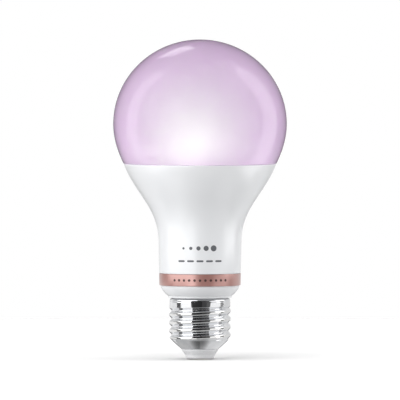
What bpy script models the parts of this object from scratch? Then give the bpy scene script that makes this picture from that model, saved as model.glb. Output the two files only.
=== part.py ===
"""Smart light bulb with an E27 screw cap, modelled as the separate pieces it is assembled from.

Units are metres. The origin is the centre of the contact's bottom face, where the lamp meets a
lampholder, and +Z runs up the lamp's axis to the top of the globe. The driver board stands in a
plane parallel to XZ, and its large components are on its +Y side.
"""

import math

import bmesh
import bpy
from mathutils import Vector

MM = 0.001
FULL_TURN = 2.0 * math.pi

# Fit: the clearance between two pieces that touch.
GAP = 0.3 * MM

# Screw cap, after the standard E27 cap: 27 mm class thread, pitch 3.629 mm.
CAP_HEIGHT = 26.2 * MM
CAP_RIM_HEIGHT = 2.8 * MM
CAP_RIM_STEP = 0.2 * MM  # the plain rim is this much inside the crests
THREAD_DIAMETER = 26.4 * MM
THREAD_DEPTH = 1.2 * MM
THREAD_PITCH = 3.629 * MM
THREAD_CREST_Z = 14.0 * MM  # a crest passes the +X side at this height
THREAD_FADE = 1.3 * MM
CONE_BOTTOM_Z = 4.4 * MM
CONE_HEIGHT = 4.2 * MM
CONE_BOTTOM_DIAMETER = 15.8 * MM
CONE_BULGE = 0.35 * MM
SHELL_WALL = 0.3 * MM

# Insulator and centre contact.
INSULATOR_FOOT_DIAMETER = 12.7 * MM
INSULATOR_FOOT_Z = 2.0 * MM
INSULATOR_BOTTOM_Z = 0.3 * MM
INSULATOR_BOSS_HEIGHT = 3.9 * MM
CONTACT_DIAMETER = 9.0 * MM
CONTACT_THICKNESS = 0.9 * MM
CONTACT_CHAMFER = 0.35 * MM
CONTACT_STEM_DIAMETER = 2.4 * MM
CONTACT_STEM_HEIGHT = 6.0 * MM

# Outline of the housing and the globe.
NECK_LENGTH = 24.7 * MM
NECK_DIAMETER = 35.6 * MM
NECK_TAPER = 0.021  # radius lost for each unit of height going down
SHOULDER_HEIGHT = 32.7 * MM
SHOULDER_BEND_HEIGHT = 0.488  # share of the shoulder's height where it leans most
SHOULDER_BEND_WIDTH = 0.353  # share of the shoulder's spread reached there
SHOULDER_BEND_LEAN = 1.40  # lean there, as a multiple of the mean lean
SHOULDER_TOP_LEAN = 0.34  # radius for each unit of height, just under the split
SPLIT_DIAMETER = 65.5 * MM
GLOBE_BOTTOM_LEAN = 0.49  # the same, just above the split
GLOBE_DIAMETER = 74.4 * MM
GLOBE_DROP = 17.0 * MM  # widest level of the globe down to the split
GLOBE_RISE = 36.2 * MM  # widest level of the globe up to its top

# Housing.
HOUSING_WALL = 1.6 * MM
LIP_HEIGHT = 0.7 * MM
LIP_OVERHANG = 0.55 * MM
COLLAR_HEIGHT = 4.3 * MM
COLLAR_STEP = 0.6 * MM
COLLAR_FLOOR = 1.8 * MM
SPIGOT_WALL = 1.6 * MM
SPIGOT_LIFT = 2.4 * MM  # spigot above the top of the cone

# Accent band in its groove round the neck.
BAND_HEIGHT = 5.1 * MM
BAND_THICKNESS = 0.6 * MM

# Diffuser dome and the adhesive that seals it.
DOME_WALL = 1.4 * MM
DOME_RIM_HEIGHT = 2.6 * MM
DOME_TONGUE_DEPTH = 3.0 * MM
DOME_TONGUE_WALL = 1.3 * MM
ADHESIVE_HEIGHT = 0.8 * MM

# Heat path: liner, spreader plate, thermal pad, light board.
LINER_WALL = 1.0 * MM
LINER_NECK_OVERLAP = 6.0 * MM
LEDGE_WIDTH = 2.4 * MM
LEDGE_THICKNESS = 1.2 * MM
LIGHT_BOARD_DROP = 6.0 * MM  # split down to the light board's top face
LIGHT_BOARD_THICKNESS = 1.2 * MM
PAD_THICKNESS = 0.5 * MM
PLATE_THICKNESS = 1.5 * MM
CENTRE_HOLE_ROOM = 0.85 * MM  # round what stands through the centre hole

# Light board fittings.
WHITE_LED_COUNT = 12
WHITE_LED_SIZE = (3.5 * MM, 2.8 * MM, 0.7 * MM)
WHITE_LED_RING = 36.0 * MM
COLOUR_LED_COUNT = 6
COLOUR_LED_SIZE = (5.0 * MM, 5.0 * MM, 1.4 * MM)
COLOUR_LED_RING = 23.0 * MM
LED_RIM = 0.35 * MM
LED_RECESS = 0.15 * MM
SCREW_COUNT = 3
SCREW_SHANK_DIAMETER = 2.5 * MM
SCREW_HEAD_DIAMETER = 4.2 * MM
SCREW_HEAD_HEIGHT = 1.3 * MM
SCREW_EDGE_DISTANCE = 3.1 * MM
SCREW_ANGLE = math.radians(15.0)
SOCKET_DEPTH = 3.6 * MM
SOCKET_HEIGHT = 4.0 * MM
SOCKET_FOOT = 1.5 * MM  # rests on the light board beyond each side of the centre hole
SOCKET_ROOF = 0.9 * MM

# Insulating sleeve and driver board.
SLEEVE_WALL = 0.8 * MM
DRIVER_BOARD_THICKNESS = 1.2 * MM
DRIVER_BOARD_Y = -3.6 * MM
DRIVER_BOARD_RISE = 1.0 * MM  # above the bottom of the spigot
DRIVER_EDGE_ROOM = 0.7 * MM
DRIVER_TOP_ROOM = 1.4 * MM
TAB_WIDTH = 9.0 * MM
TAB_REACH = 3.0 * MM  # into the socket, above the light board's top face

# Driver components. Each "rise" is the height of its foot above the board's bottom edge.
INPUT_CAPACITOR = (8.0 * MM, 11.0 * MM)  # diameter, length
INPUT_CAPACITOR_X = 3.2 * MM
INPUT_CAPACITOR_RISE = 3.5 * MM
FUSE_RESISTOR = (3.4 * MM, 9.0 * MM)
FUSE_RESISTOR_X = -5.0 * MM
FUSE_RESISTOR_RISE = 3.5 * MM
CHOKE = (7.0 * MM, 8.0 * MM)
CHOKE_FLANGE = 1.1 * MM
CHOKE_HUB_DIAMETER = 3.0 * MM
CHOKE_X = -5.0 * MM
CHOKE_RISE = 16.5 * MM
FILM_CAPACITOR_SIZE = (7.6 * MM, 4.4 * MM, 7.6 * MM)
FILM_CAPACITOR_X = 3.1 * MM
FILM_CAPACITOR_RISE = 16.6 * MM
TRANSFORMER_SIZE = (13.4 * MM, 4.0 * MM, 12.0 * MM)
TRANSFORMER_YOKE = 1.6 * MM
TRANSFORMER_LEG = 3.0 * MM
TRANSFORMER_RISE = 25.5 * MM
BOBBIN_WALL = 0.6 * MM
WINDING_BUILD = 1.7 * MM
OUTPUT_CAPACITOR = (8.0 * MM, 11.0 * MM)
OUTPUT_CAPACITOR_X = 0.0
OUTPUT_CAPACITOR_RISE = 39.0 * MM
BRIDGE_SIZE = (4.8 * MM, 1.8 * MM, 4.0 * MM)
BRIDGE_RISE = 6.0 * MM
CHIP_SIZE = (5.0 * MM, 1.5 * MM, 4.0 * MM)
CHIP_RISE = 22.0 * MM
TRANSISTOR_SIZE = (6.6 * MM, 2.3 * MM, 6.2 * MM)
TRANSISTOR_RISE = 30.0 * MM
DIODE_SIZE = (2.6 * MM, 2.2 * MM, 4.4 * MM)
DIODE_RISE = 41.0 * MM
LEAD_THICKNESS = 0.4 * MM
LEAD_REACH = 0.9 * MM

# Wireless module, standing through the centre hole.
MODULE_BOARD_SIZE = (10.4 * MM, 0.8 * MM, 18.0 * MM)
MODULE_Y = 2.0 * MM
MODULE_RISE_ABOVE_BOARD = 12.0 * MM
SHIELD_SIZE = (8.6 * MM, 1.6 * MM, 8.0 * MM)
SHIELD_TOP_MARGIN = 7.0 * MM  # bare antenna end of the module

# Mains leads.
WIRE_DIAMETER = 1.0 * MM

# Mesh fineness.
LARGE_SEGMENTS = 40
THREAD_SEGMENTS = 32
SMALL_SEGMENTS = 16
THREAD_ROWS_PER_TURN = 5
SMOOTH_ANGLE = math.radians(35.0)

# Levels that several pieces share.
CONE_TOP_Z = CONE_BOTTOM_Z + CONE_HEIGHT
THREAD_TOP_Z = CAP_HEIGHT - CAP_RIM_HEIGHT
SPIGOT_BOTTOM_Z = CONE_TOP_Z + SPIGOT_LIFT
NECK_BASE_Z = CAP_HEIGHT + GAP
NECK_TOP_Z = NECK_BASE_Z + NECK_LENGTH
SPLIT_Z = NECK_TOP_Z + SHOULDER_HEIGHT
EQUATOR_Z = SPLIT_Z + GLOBE_DROP
TOP_Z = EQUATOR_Z + GLOBE_RISE
BAND_BOTTOM_Z = NECK_BASE_Z + LIP_HEIGHT + COLLAR_HEIGHT + GAP
BAND_TOP_Z = BAND_BOTTOM_Z + BAND_HEIGHT
TONGUE_BOTTOM_Z = SPLIT_Z - DOME_TONGUE_DEPTH
ADHESIVE_TOP_Z = TONGUE_BOTTOM_Z - GAP
LINER_TOP_Z = ADHESIVE_TOP_Z - ADHESIVE_HEIGHT - GAP
LINER_BOTTOM_Z = NECK_TOP_Z - LINER_NECK_OVERLAP
LIGHT_BOARD_TOP_Z = SPLIT_Z - LIGHT_BOARD_DROP
LIGHT_BOARD_BOTTOM_Z = LIGHT_BOARD_TOP_Z - LIGHT_BOARD_THICKNESS
PAD_TOP_Z = LIGHT_BOARD_BOTTOM_Z - GAP
PAD_BOTTOM_Z = PAD_TOP_Z - PAD_THICKNESS
PLATE_TOP_Z = PAD_BOTTOM_Z - GAP
PLATE_BOTTOM_Z = PLATE_TOP_Z - PLATE_THICKNESS
LEDGE_TOP_Z = PLATE_BOTTOM_Z - GAP
DRIVER_BOTTOM_Z = SPIGOT_BOTTOM_Z + DRIVER_BOARD_RISE
DRIVER_TOP_Z = PLATE_BOTTOM_Z - DRIVER_TOP_ROOM
DRIVER_FRONT_Y = DRIVER_BOARD_Y + DRIVER_BOARD_THICKNESS / 2.0
DRIVER_BACK_Y = DRIVER_BOARD_Y - DRIVER_BOARD_THICKNESS / 2.0


# ---------------------------------------------------------------------------------------------
# Outline
# ---------------------------------------------------------------------------------------------


def hermite(z, low, high):
    """Radius at z on a cubic between two (z, radius, lean) stations, lean being radius per z."""
    span = high[0] - low[0]
    t = (z - low[0]) / span
    start = (2 * t**3 - 3 * t**2 + 1) * low[1] + (t**3 - 2 * t**2 + t) * span * low[2]
    end = (3 * t**2 - 2 * t**3) * high[1] + (t**3 - t**2) * span * high[2]
    return start + end


def outline(z):
    """Outer radius of the neck, the shoulder and the globe at height z."""
    neck = (NECK_TOP_Z, NECK_DIAMETER / 2.0, NECK_TAPER)
    shoulder = (SPLIT_Z, SPLIT_DIAMETER / 2.0, SHOULDER_TOP_LEAN)
    globe = (SPLIT_Z, SPLIT_DIAMETER / 2.0, GLOBE_BOTTOM_LEAN)
    equator = (EQUATOR_Z, GLOBE_DIAMETER / 2.0, 0.0)
    spread = shoulder[1] - neck[1]
    bend = (
        NECK_TOP_Z + SHOULDER_BEND_HEIGHT * SHOULDER_HEIGHT,
        neck[1] + SHOULDER_BEND_WIDTH * spread,
        SHOULDER_BEND_LEAN * spread / SHOULDER_HEIGHT,
    )
    if z >= EQUATOR_Z:
        rise = min((z - EQUATOR_Z) / GLOBE_RISE, 1.0)
        return equator[1] * math.sqrt(1.0 - rise * rise)
    if z >= SPLIT_Z:
        return hermite(z, globe, equator)
    if z >= bend[0]:
        return hermite(z, bend, shoulder)
    if z >= NECK_TOP_Z:
        return hermite(z, neck, bend)
    return neck[1] - (NECK_TOP_Z - z) * NECK_TAPER


def inside(z, depth):
    """Radius at z of the surface that lies depth inside the outline, measured square to it."""
    step = 0.05 * MM
    lean = (outline(z + step) - outline(z - step)) / (2.0 * step)
    return outline(z) - depth * math.hypot(1.0, lean)


def levels(first, last, count):
    """count heights from first to last, evenly spaced."""
    return [first + (last - first) * i / (count - 1) for i in range(count)]


def curve_through(start, pull, end, count):
    """count points on a quadratic curve from start to end, drawn towards pull."""
    points = []
    for i in range(count):
        t = i / (count - 1)
        a = (1 - t) ** 2
        b = 2 * t * (1 - t)
        c = t * t
        points.append(tuple(a * s + b * p + c * e for s, p, e in zip(start, pull, end)))
    return points


def shell_radius(angle, z):
    """Outer radius of the threaded shell: rim, right-hand thread, then the cone."""
    turns = (z - THREAD_CREST_Z) / THREAD_PITCH - angle / FULL_TURN
    fade = min(max((THREAD_TOP_Z - z) / THREAD_FADE, 0.0), 1.0)
    fade = fade * fade * (3.0 - 2.0 * fade)
    groove = THREAD_DEPTH * 0.5 * (1.0 - math.cos(FULL_TURN * turns))
    radius = THREAD_DIAMETER / 2.0 - groove * fade - CAP_RIM_STEP * (1.0 - fade)
    down = min(max((CONE_TOP_Z - z) / (CONE_TOP_Z - CONE_BOTTOM_Z), 0.0), 1.0)
    top_radius = THREAD_DIAMETER / 2.0 - THREAD_DEPTH
    cone = top_radius + (CONE_BOTTOM_DIAMETER / 2.0 - top_radius) * down
    cone += CONE_BULGE * math.sin(math.pi * down)
    blend = min(max((z - CONE_TOP_Z) / THREAD_PITCH, 0.0), 1.0)
    limit = cone + (THREAD_DEPTH + THREAD_DIAMETER) * blend * blend
    return min(radius, limit)


def shell_inner_radius(angle, z):
    """Inner radius of the formed sheet, one wall inside shell_radius."""
    step = 0.1 * MM
    lean = (shell_radius(angle, z + step) - shell_radius(angle, z - step)) / (2.0 * step)
    return shell_radius(angle, z) - SHELL_WALL * math.hypot(1.0, lean)


SHELL_ROOT_INNER = THREAD_DIAMETER / 2.0 - THREAD_DEPTH - SHELL_WALL
SPIGOT_RADIUS = SHELL_ROOT_INNER - GAP
BORE_RADIUS = SPIGOT_RADIUS - SPIGOT_WALL
LIP_RADIUS = THREAD_DIAMETER / 2.0 - CAP_RIM_STEP + LIP_OVERHANG
FLOOR_Z = NECK_BASE_Z + COLLAR_FLOOR
FLOOR_RADIUS = LIP_RADIUS - LIP_OVERHANG * 2.0
COLLAR_TOP_Z = BAND_BOTTOM_Z - GAP
LINER_DEPTH = HOUSING_WALL + GAP
SLEEVE_RADIUS = inside(LINER_BOTTOM_Z, LINER_DEPTH + LINER_WALL + GAP)
SLEEVE_BORE = SLEEVE_RADIUS - SLEEVE_WALL
LIGHT_BOARD_RADIUS = inside(LIGHT_BOARD_BOTTOM_Z, LINER_DEPTH + LINER_WALL + GAP)
SCREW_RING_RADIUS = LIGHT_BOARD_RADIUS - SCREW_EDGE_DISTANCE


def sleeve_bottom():
    """Height where the sleeve's foot stands clear of the sloping inside of the collar."""
    wall_radius = inside(BAND_BOTTOM_Z, HOUSING_WALL)
    slope = (BAND_BOTTOM_Z - FLOOR_Z) / (wall_radius - FLOOR_RADIUS)
    reach = max(SLEEVE_RADIUS + GAP - FLOOR_RADIUS, 0.0)
    return FLOOR_Z + reach * slope + GAP


def centre_hole_radius():
    """Radius of the hole in the light board, pad and plate that the upright boards stand in."""
    shield_y = MODULE_Y + MODULE_BOARD_SIZE[1] / 2.0 + GAP + SHIELD_SIZE[1]
    corners = [
        (TAB_WIDTH / 2.0, DRIVER_BACK_Y),
        (MODULE_BOARD_SIZE[0] / 2.0, MODULE_Y + MODULE_BOARD_SIZE[1] / 2.0),
        (SHIELD_SIZE[0] / 2.0, shield_y),
    ]
    return max(math.hypot(x, y) for x, y in corners) + CENTRE_HOLE_ROOM


# ---------------------------------------------------------------------------------------------
# Scene helpers
# ---------------------------------------------------------------------------------------------


def clear_scene():
    """Remove every object of the open scene."""
    for item in list(bpy.data.objects):
        bpy.data.objects.remove(item, do_unlink=True)


def material(name, colour, metallic, roughness):
    """A Principled material, made once."""
    found = bpy.data.materials.get(name)
    if found:
        return found
    made = bpy.data.materials.new(name)
    made.use_nodes = True
    shader = made.node_tree.nodes["Principled BSDF"]
    shader.inputs["Base Color"].default_value = (*colour, 1.0)
    shader.inputs["Metallic"].default_value = metallic
    shader.inputs["Roughness"].default_value = roughness
    return made


FINISHES = {
    "diffuser": ((0.83, 0.72, 0.87), 0.0, 0.35),
    "white_plastic": ((0.86, 0.87, 0.88), 0.0, 0.35),
    "rose_metal": ((0.72, 0.42, 0.35), 1.0, 0.3),
    "bright_metal": ((0.78, 0.79, 0.81), 1.0, 0.12),
    "contact_metal": ((0.72, 0.66, 0.5), 1.0, 0.3),
    "adhesive": ((0.9, 0.9, 0.88), 0.0, 0.6),
    "aluminium": ((0.74, 0.75, 0.76), 1.0, 0.4),
    "thermal_pad": ((0.45, 0.5, 0.56), 0.0, 0.7),
    "white_mask": ((0.88, 0.88, 0.86), 0.0, 0.4),
    "phosphor": ((0.93, 0.78, 0.2), 0.0, 0.4),
    "clear_lens": ((0.85, 0.86, 0.9), 0.0, 0.25),
    "steel": ((0.6, 0.6, 0.62), 1.0, 0.3),
    "connector": ((0.85, 0.84, 0.8), 0.0, 0.5),
    "green_mask": ((0.04, 0.23, 0.09), 0.0, 0.4),
    "black_plastic": ((0.03, 0.03, 0.035), 0.0, 0.5),
    "sleeve_plastic": ((0.8, 0.8, 0.78), 0.0, 0.5),
    "capacitor_jacket": ((0.05, 0.08, 0.2), 0.0, 0.35),
    "ferrite": ((0.07, 0.07, 0.075), 0.0, 0.6),
    "copper": ((0.72, 0.34, 0.17), 1.0, 0.35),
    "tape": ((0.85, 0.66, 0.12), 0.0, 0.45),
    "film_box": ((0.72, 0.16, 0.12), 0.0, 0.4),
    "resistor_body": ((0.45, 0.62, 0.56), 0.0, 0.5),
    "live_insulation": ((0.6, 0.06, 0.05), 0.0, 0.45),
    "neutral_insulation": ((0.05, 0.05, 0.06), 0.0, 0.45),
}


def link_object(name, data, finish, root):
    """Put data in the scene as a named piece of the lamp with its finish."""
    piece = bpy.data.objects.new(name, data)
    bpy.context.scene.collection.objects.link(piece)
    data.materials.append(material(finish, *FINISHES[finish]))
    piece.parent = root
    return piece


def mesh_from(name, bm):
    """Turn a bmesh into a smooth-shaded mesh with its faces pointing out."""
    bmesh.ops.recalc_face_normals(bm, faces=bm.faces)
    mesh = bpy.data.meshes.new(name)
    bm.to_mesh(mesh)
    bm.free()
    mesh.shade_smooth()
    mesh.set_sharp_from_angle(angle=SMOOTH_ANGLE)
    return mesh


def turned_mesh(name, profile, segments):
    """A solid of revolution from (radius, z) points; it is a ring unless its ends meet the axis."""
    bm = bmesh.new()
    verts = [bm.verts.new((radius, 0.0, z)) for radius, z in profile]
    edges = [bm.edges.new(pair) for pair in zip(verts, verts[1:])]
    on_axis = profile[0][0] == 0.0 and profile[-1][0] == 0.0
    if not on_axis:
        edges.append(bm.edges.new((verts[-1], verts[0])))
    bmesh.ops.spin(
        bm,
        geom=verts + edges,
        axis=(0.0, 0.0, 1.0),
        cent=(0.0, 0.0, 0.0),
        angle=FULL_TURN,
        steps=segments,
        use_merge=True,
    )
    bmesh.ops.remove_doubles(bm, verts=bm.verts, dist=0.001 * MM)
    return mesh_from(name, bm)


def turned(name, profile, finish, root, segments=LARGE_SEGMENTS):
    """A turned piece on the lamp's axis."""
    return link_object(name, turned_mesh(name, profile, segments), finish, root)


def disc_ring(bottom, top, inner, outer):
    """Profile of a flat ring."""
    return [(outer, top), (outer, bottom), (inner, bottom), (inner, top)]


def box_bmesh(size, centre=(0.0, 0.0, 0.0)):
    """A bmesh box."""
    bm = bmesh.new()
    bmesh.ops.create_cube(bm, size=1.0)
    bmesh.ops.scale(bm, vec=Vector(size), verts=bm.verts)
    bmesh.ops.translate(bm, vec=Vector(centre), verts=bm.verts)
    return bm


def box_piece(name, size, place, finish, root, edge=0.0):
    """A box with its centre at place, its edges bevelled by edge."""
    piece = link_object(name, mesh_from(name, box_bmesh(size)), finish, root)
    piece.location = place
    if edge > 0.0:
        bevel = piece.modifiers.new("soft_edges", "BEVEL")
        bevel.width = edge
        bevel.segments = 1
        bevel.limit_method = "ANGLE"
    return piece


def plate_mesh(name, outline_points, thickness):
    """A flat plate from (x, z) outline points, extruded along Y and centred on it."""
    bm = bmesh.new()
    face = bm.faces.new([bm.verts.new((x, -thickness / 2.0, z)) for x, z in outline_points])
    grown = bmesh.ops.extrude_face_region(bm, geom=[face])
    moved = [item for item in grown["geom"] if isinstance(item, bmesh.types.BMVert)]
    bmesh.ops.translate(bm, vec=Vector((0.0, thickness, 0.0)), verts=moved)
    return mesh_from(name, bm)


def tool(name, bms):
    """A hidden cutter or adder made from one or more separate bmesh bodies."""
    joined = bmesh.new()
    for bm in bms:
        scratch = bpy.data.meshes.new("scratch")
        bmesh.ops.recalc_face_normals(bm, faces=bm.faces)
        bm.to_mesh(scratch)
        bm.free()
        joined.from_mesh(scratch)
        bpy.data.meshes.remove(scratch)
    mesh = bpy.data.meshes.new(name)
    joined.to_mesh(mesh)
    joined.free()
    guide = bpy.data.objects.new(name, mesh)
    bpy.context.scene.collection.objects.link(guide)
    guide.hide_render = True
    guide.display_type = "WIRE"
    return guide


def combine(piece, guide, operation):
    """Boolean a hidden guide with a piece; the guide sits in the piece's own frame."""
    guide.parent = piece
    step = piece.modifiers.new(operation.lower(), "BOOLEAN")
    step.operation = operation
    step.solver = "EXACT"
    step.object = guide


def around(count, radius, start=0.0):
    """(angle, x, y) of count places evenly round a circle."""
    places = []
    for i in range(count):
        angle = start + FULL_TURN * i / count
        places.append((angle, radius * math.cos(angle), radius * math.sin(angle)))
    return places


# ---------------------------------------------------------------------------------------------
# Outer pieces
# ---------------------------------------------------------------------------------------------


def globe_points(wall, count):
    """Profile points of the upper globe, from the top down to just above its widest level."""
    radius = GLOBE_DIAMETER / 2.0 - wall
    rise = GLOBE_RISE - wall
    angles = [math.pi / 2.0 * (1.0 - i / count) for i in range(1, count)]
    arc = [(radius * math.cos(a), EQUATOR_Z + rise * math.sin(a)) for a in angles]
    return [(0.0, EQUATOR_Z + rise), *arc]


def add_diffuser_dome(root):
    rim_z = SPLIT_Z + GAP / 2.0
    rim_top_z = SPLIT_Z + DOME_RIM_HEIGHT
    outer = globe_points(0.0, 9)
    outer += [(outline(z), z) for z in levels(EQUATOR_Z, rim_z, 5)]
    tongue_depth = HOUSING_WALL + GAP
    tongue = [(inside(z, tongue_depth), z) for z in (rim_z, TONGUE_BOTTOM_Z)]
    back_depth = tongue_depth + DOME_TONGUE_WALL
    back = [(inside(z, back_depth), z) for z in (TONGUE_BOTTOM_Z, rim_z)]
    inner = [(inside(z, DOME_WALL), z) for z in levels(rim_top_z, EQUATOR_Z, 5)]
    inner += list(reversed(globe_points(DOME_WALL, 8)))
    turned("diffuser_dome", outer + tongue + back + inner, "diffuser", root)


def add_dome_adhesive(root):
    top = ADHESIVE_TOP_Z
    bottom = ADHESIVE_TOP_Z - ADHESIVE_HEIGHT
    near = HOUSING_WALL + GAP
    far = near + DOME_TONGUE_WALL
    profile = [(inside(top, near), top), (inside(bottom, near), bottom)]
    profile += [(inside(bottom, far), bottom), (inside(top, far), top)]
    turned("dome_adhesive", profile, "adhesive", root)


def add_housing(root):
    rim_z = SPLIT_Z - GAP / 2.0
    groove = BAND_THICKNESS + GAP
    groove_top = BAND_TOP_Z + GAP
    outer = [(outline(z), z) for z in levels(rim_z, NECK_TOP_Z, 10)]
    outer.append((outline(groove_top), groove_top))
    band_groove = [(outline(z) - groove, z) for z in (groove_top, COLLAR_TOP_Z)]
    collar_radius = outline(COLLAR_TOP_Z) - COLLAR_STEP
    lip_z = NECK_BASE_Z + LIP_HEIGHT
    pull = (
        LIP_RADIUS + 0.72 * (collar_radius - LIP_RADIUS),
        lip_z + 0.38 * (COLLAR_TOP_Z - lip_z),
    )
    collar = curve_through((collar_radius, COLLAR_TOP_Z), pull, (LIP_RADIUS, lip_z), 5)
    spigot = [
        (LIP_RADIUS, NECK_BASE_Z),
        (SPIGOT_RADIUS, NECK_BASE_Z),
        (SPIGOT_RADIUS, SPIGOT_BOTTOM_Z),
        (BORE_RADIUS, SPIGOT_BOTTOM_Z),
        (BORE_RADIUS, FLOOR_Z),
    ]
    floor = [(FLOOR_RADIUS, FLOOR_Z)]
    inner = [(inside(BAND_BOTTOM_Z, HOUSING_WALL), BAND_BOTTOM_Z)]
    inner += [(inside(z, HOUSING_WALL), z) for z in levels(NECK_TOP_Z, rim_z, 9)]
    profile = outer + band_groove + collar + spigot + floor + inner
    turned("housing", profile, "white_plastic", root)


def add_accent_band(root):
    outer = [(outline(z), z) for z in (BAND_TOP_Z, BAND_BOTTOM_Z)]
    inner = [(outline(z) - BAND_THICKNESS, z) for z in (BAND_BOTTOM_Z, BAND_TOP_Z)]
    turned("accent_band", outer + inner, "rose_metal", root)


def add_screw_shell(root):
    row_height = THREAD_PITCH / THREAD_ROWS_PER_TURN
    thread_rows = round((THREAD_TOP_Z - CONE_TOP_Z) / row_height)
    heights = [CAP_HEIGHT, *levels(THREAD_TOP_Z, CONE_TOP_Z, thread_rows + 1)]
    heights += levels(CONE_TOP_Z, CONE_BOTTOM_Z, 5)[1:]
    rows = [(z, shell_radius) for z in heights]
    rows += [(z, shell_inner_radius) for z in reversed(heights)]
    bm = bmesh.new()
    grid = []
    for z, radius_at in rows:
        ring = []
        for i in range(THREAD_SEGMENTS):
            angle = FULL_TURN * i / THREAD_SEGMENTS
            radius = radius_at(angle, z)
            ring.append(bm.verts.new((radius * math.cos(angle), radius * math.sin(angle), z)))
        grid.append(ring)
    for ring, below in zip(grid, grid[1:] + grid[:1]):
        for i in range(THREAD_SEGMENTS):
            j = (i + 1) % THREAD_SEGMENTS
            bm.faces.new((ring[i], below[i], below[j], ring[j]))
    link_object("screw_shell", mesh_from("screw_shell", bm), "bright_metal", root)


def add_insulator(root):
    hole = CONTACT_STEM_DIAMETER / 2.0 + GAP
    recess = CONTACT_DIAMETER / 2.0 + GAP
    recess_z = CONTACT_THICKNESS + GAP
    foot = INSULATOR_FOOT_DIAMETER / 2.0
    flange_z = CONE_BOTTOM_Z - GAP
    flange = CONE_BOTTOM_DIAMETER / 2.0
    boss = shell_inner_radius(0.0, CONE_BOTTOM_Z) - GAP
    boss_z = flange_z + INSULATOR_BOSS_HEIGHT
    edge = ((foot + recess) / 2.0, INSULATOR_BOTTOM_Z)
    corner = curve_through(edge, (foot - GAP, INSULATOR_BOTTOM_Z), (foot, INSULATOR_FOOT_Z), 4)
    profile = [
        (hole, boss_z),
        (boss, boss_z),
        (boss, flange_z),
        (flange, flange_z),
        *reversed(corner),
        (recess, INSULATOR_BOTTOM_Z),
        (recess, recess_z),
        (hole, recess_z),
    ]
    turned("insulator", profile, "white_plastic", root, THREAD_SEGMENTS)


def add_centre_contact(root):
    radius = CONTACT_DIAMETER / 2.0
    stem = CONTACT_STEM_DIAMETER / 2.0
    stem_z = CONTACT_THICKNESS + CONTACT_STEM_HEIGHT
    profile = [
        (0.0, stem_z),
        (stem, stem_z),
        (stem, CONTACT_THICKNESS),
        (radius, CONTACT_THICKNESS),
        (radius, CONTACT_CHAMFER),
        (radius - CONTACT_CHAMFER, 0.0),
        (0.0, 0.0),
    ]
    turned("centre_contact", profile, "contact_metal", root, THREAD_SEGMENTS)


# ---------------------------------------------------------------------------------------------
# Heat path and light board
# ---------------------------------------------------------------------------------------------


def add_heatsink_liner(root):
    inner_depth = LINER_DEPTH + LINER_WALL
    ledge_bottom = LEDGE_TOP_Z - LEDGE_THICKNESS
    ledge_radius = inside(LEDGE_TOP_Z, inner_depth) - LEDGE_WIDTH
    heights = [LINER_TOP_Z, *levels(LEDGE_TOP_Z, NECK_TOP_Z, 6), LINER_BOTTOM_Z]
    outer = [(inside(z, LINER_DEPTH), z) for z in heights]
    below_ledge = [LINER_BOTTOM_Z, *levels(NECK_TOP_Z, ledge_bottom, 5)]
    inner = [(inside(z, inner_depth), z) for z in below_ledge]
    ledge = [(ledge_radius, ledge_bottom), (ledge_radius, LEDGE_TOP_Z)]
    above = [(inside(z, inner_depth), z) for z in (LEDGE_TOP_Z, LINER_TOP_Z)]
    turned("heatsink_liner", outer + inner + ledge + above, "aluminium", root)


def screw_hole_tool(name, bottom, top):
    """Cylinders through a board at each screw."""
    bms = []
    for _angle, x, y in around(SCREW_COUNT, SCREW_RING_RADIUS, SCREW_ANGLE):
        bm = bmesh.new()
        radius = SCREW_SHANK_DIAMETER / 2.0 + GAP
        bmesh.ops.create_cone(
            bm,
            cap_ends=True,
            segments=SMALL_SEGMENTS,
            radius1=radius,
            radius2=radius,
            depth=(top - bottom) * 2.0,
        )
        bmesh.ops.translate(bm, vec=Vector((x, y, (top + bottom) / 2.0)), verts=bm.verts)
        bms.append(bm)
    return tool(name, bms)


def add_board_stack(root):
    hole = centre_hole_radius()
    plate_radius = inside(PLATE_BOTTOM_Z, LINER_DEPTH + LINER_WALL + GAP)
    pad_radius = SCREW_RING_RADIUS - SCREW_SHANK_DIAMETER / 2.0 - 2.0 * GAP
    plate = turned(
        "spreader_plate",
        disc_ring(PLATE_BOTTOM_Z, PLATE_TOP_Z, hole, plate_radius),
        "aluminium",
        root,
    )
    combine(plate, screw_hole_tool("plate_holes", PLATE_BOTTOM_Z, PLATE_TOP_Z), "DIFFERENCE")
    pad_profile = disc_ring(PAD_BOTTOM_Z, PAD_TOP_Z, hole + GAP, pad_radius)
    turned("thermal_pad", pad_profile, "thermal_pad", root)
    board_profile = disc_ring(LIGHT_BOARD_BOTTOM_Z, LIGHT_BOARD_TOP_Z, hole, LIGHT_BOARD_RADIUS)
    board = turned("led_board", board_profile, "white_mask", root)
    holes = screw_hole_tool("board_holes", LIGHT_BOARD_BOTTOM_Z, LIGHT_BOARD_TOP_Z)
    combine(board, holes, "DIFFERENCE")


def led_mesh(name, size):
    """A package with a shallow recessed window in its top."""
    bm = box_bmesh(size, (0.0, 0.0, size[2] / 2.0))
    bm.faces.ensure_lookup_table()
    top = max(bm.faces, key=lambda face: face.calc_center_median().z)
    bmesh.ops.inset_region(bm, faces=[top], thickness=LED_RIM)
    bmesh.ops.translate(bm, vec=Vector((0.0, 0.0, -LED_RECESS)), verts=top.verts)
    return mesh_from(name, bm)


def add_led_ring(root, name, count, size, ring_diameter, finish, start):
    for i, (angle, x, y) in enumerate(around(count, ring_diameter / 2.0, start)):
        piece = link_object(f"{name}_{i + 1:02d}", led_mesh(name, size), finish, root)
        piece.location = (x, y, LIGHT_BOARD_TOP_Z + GAP)
        piece.rotation_euler = (0.0, 0.0, angle + math.pi / 2.0)


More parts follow.
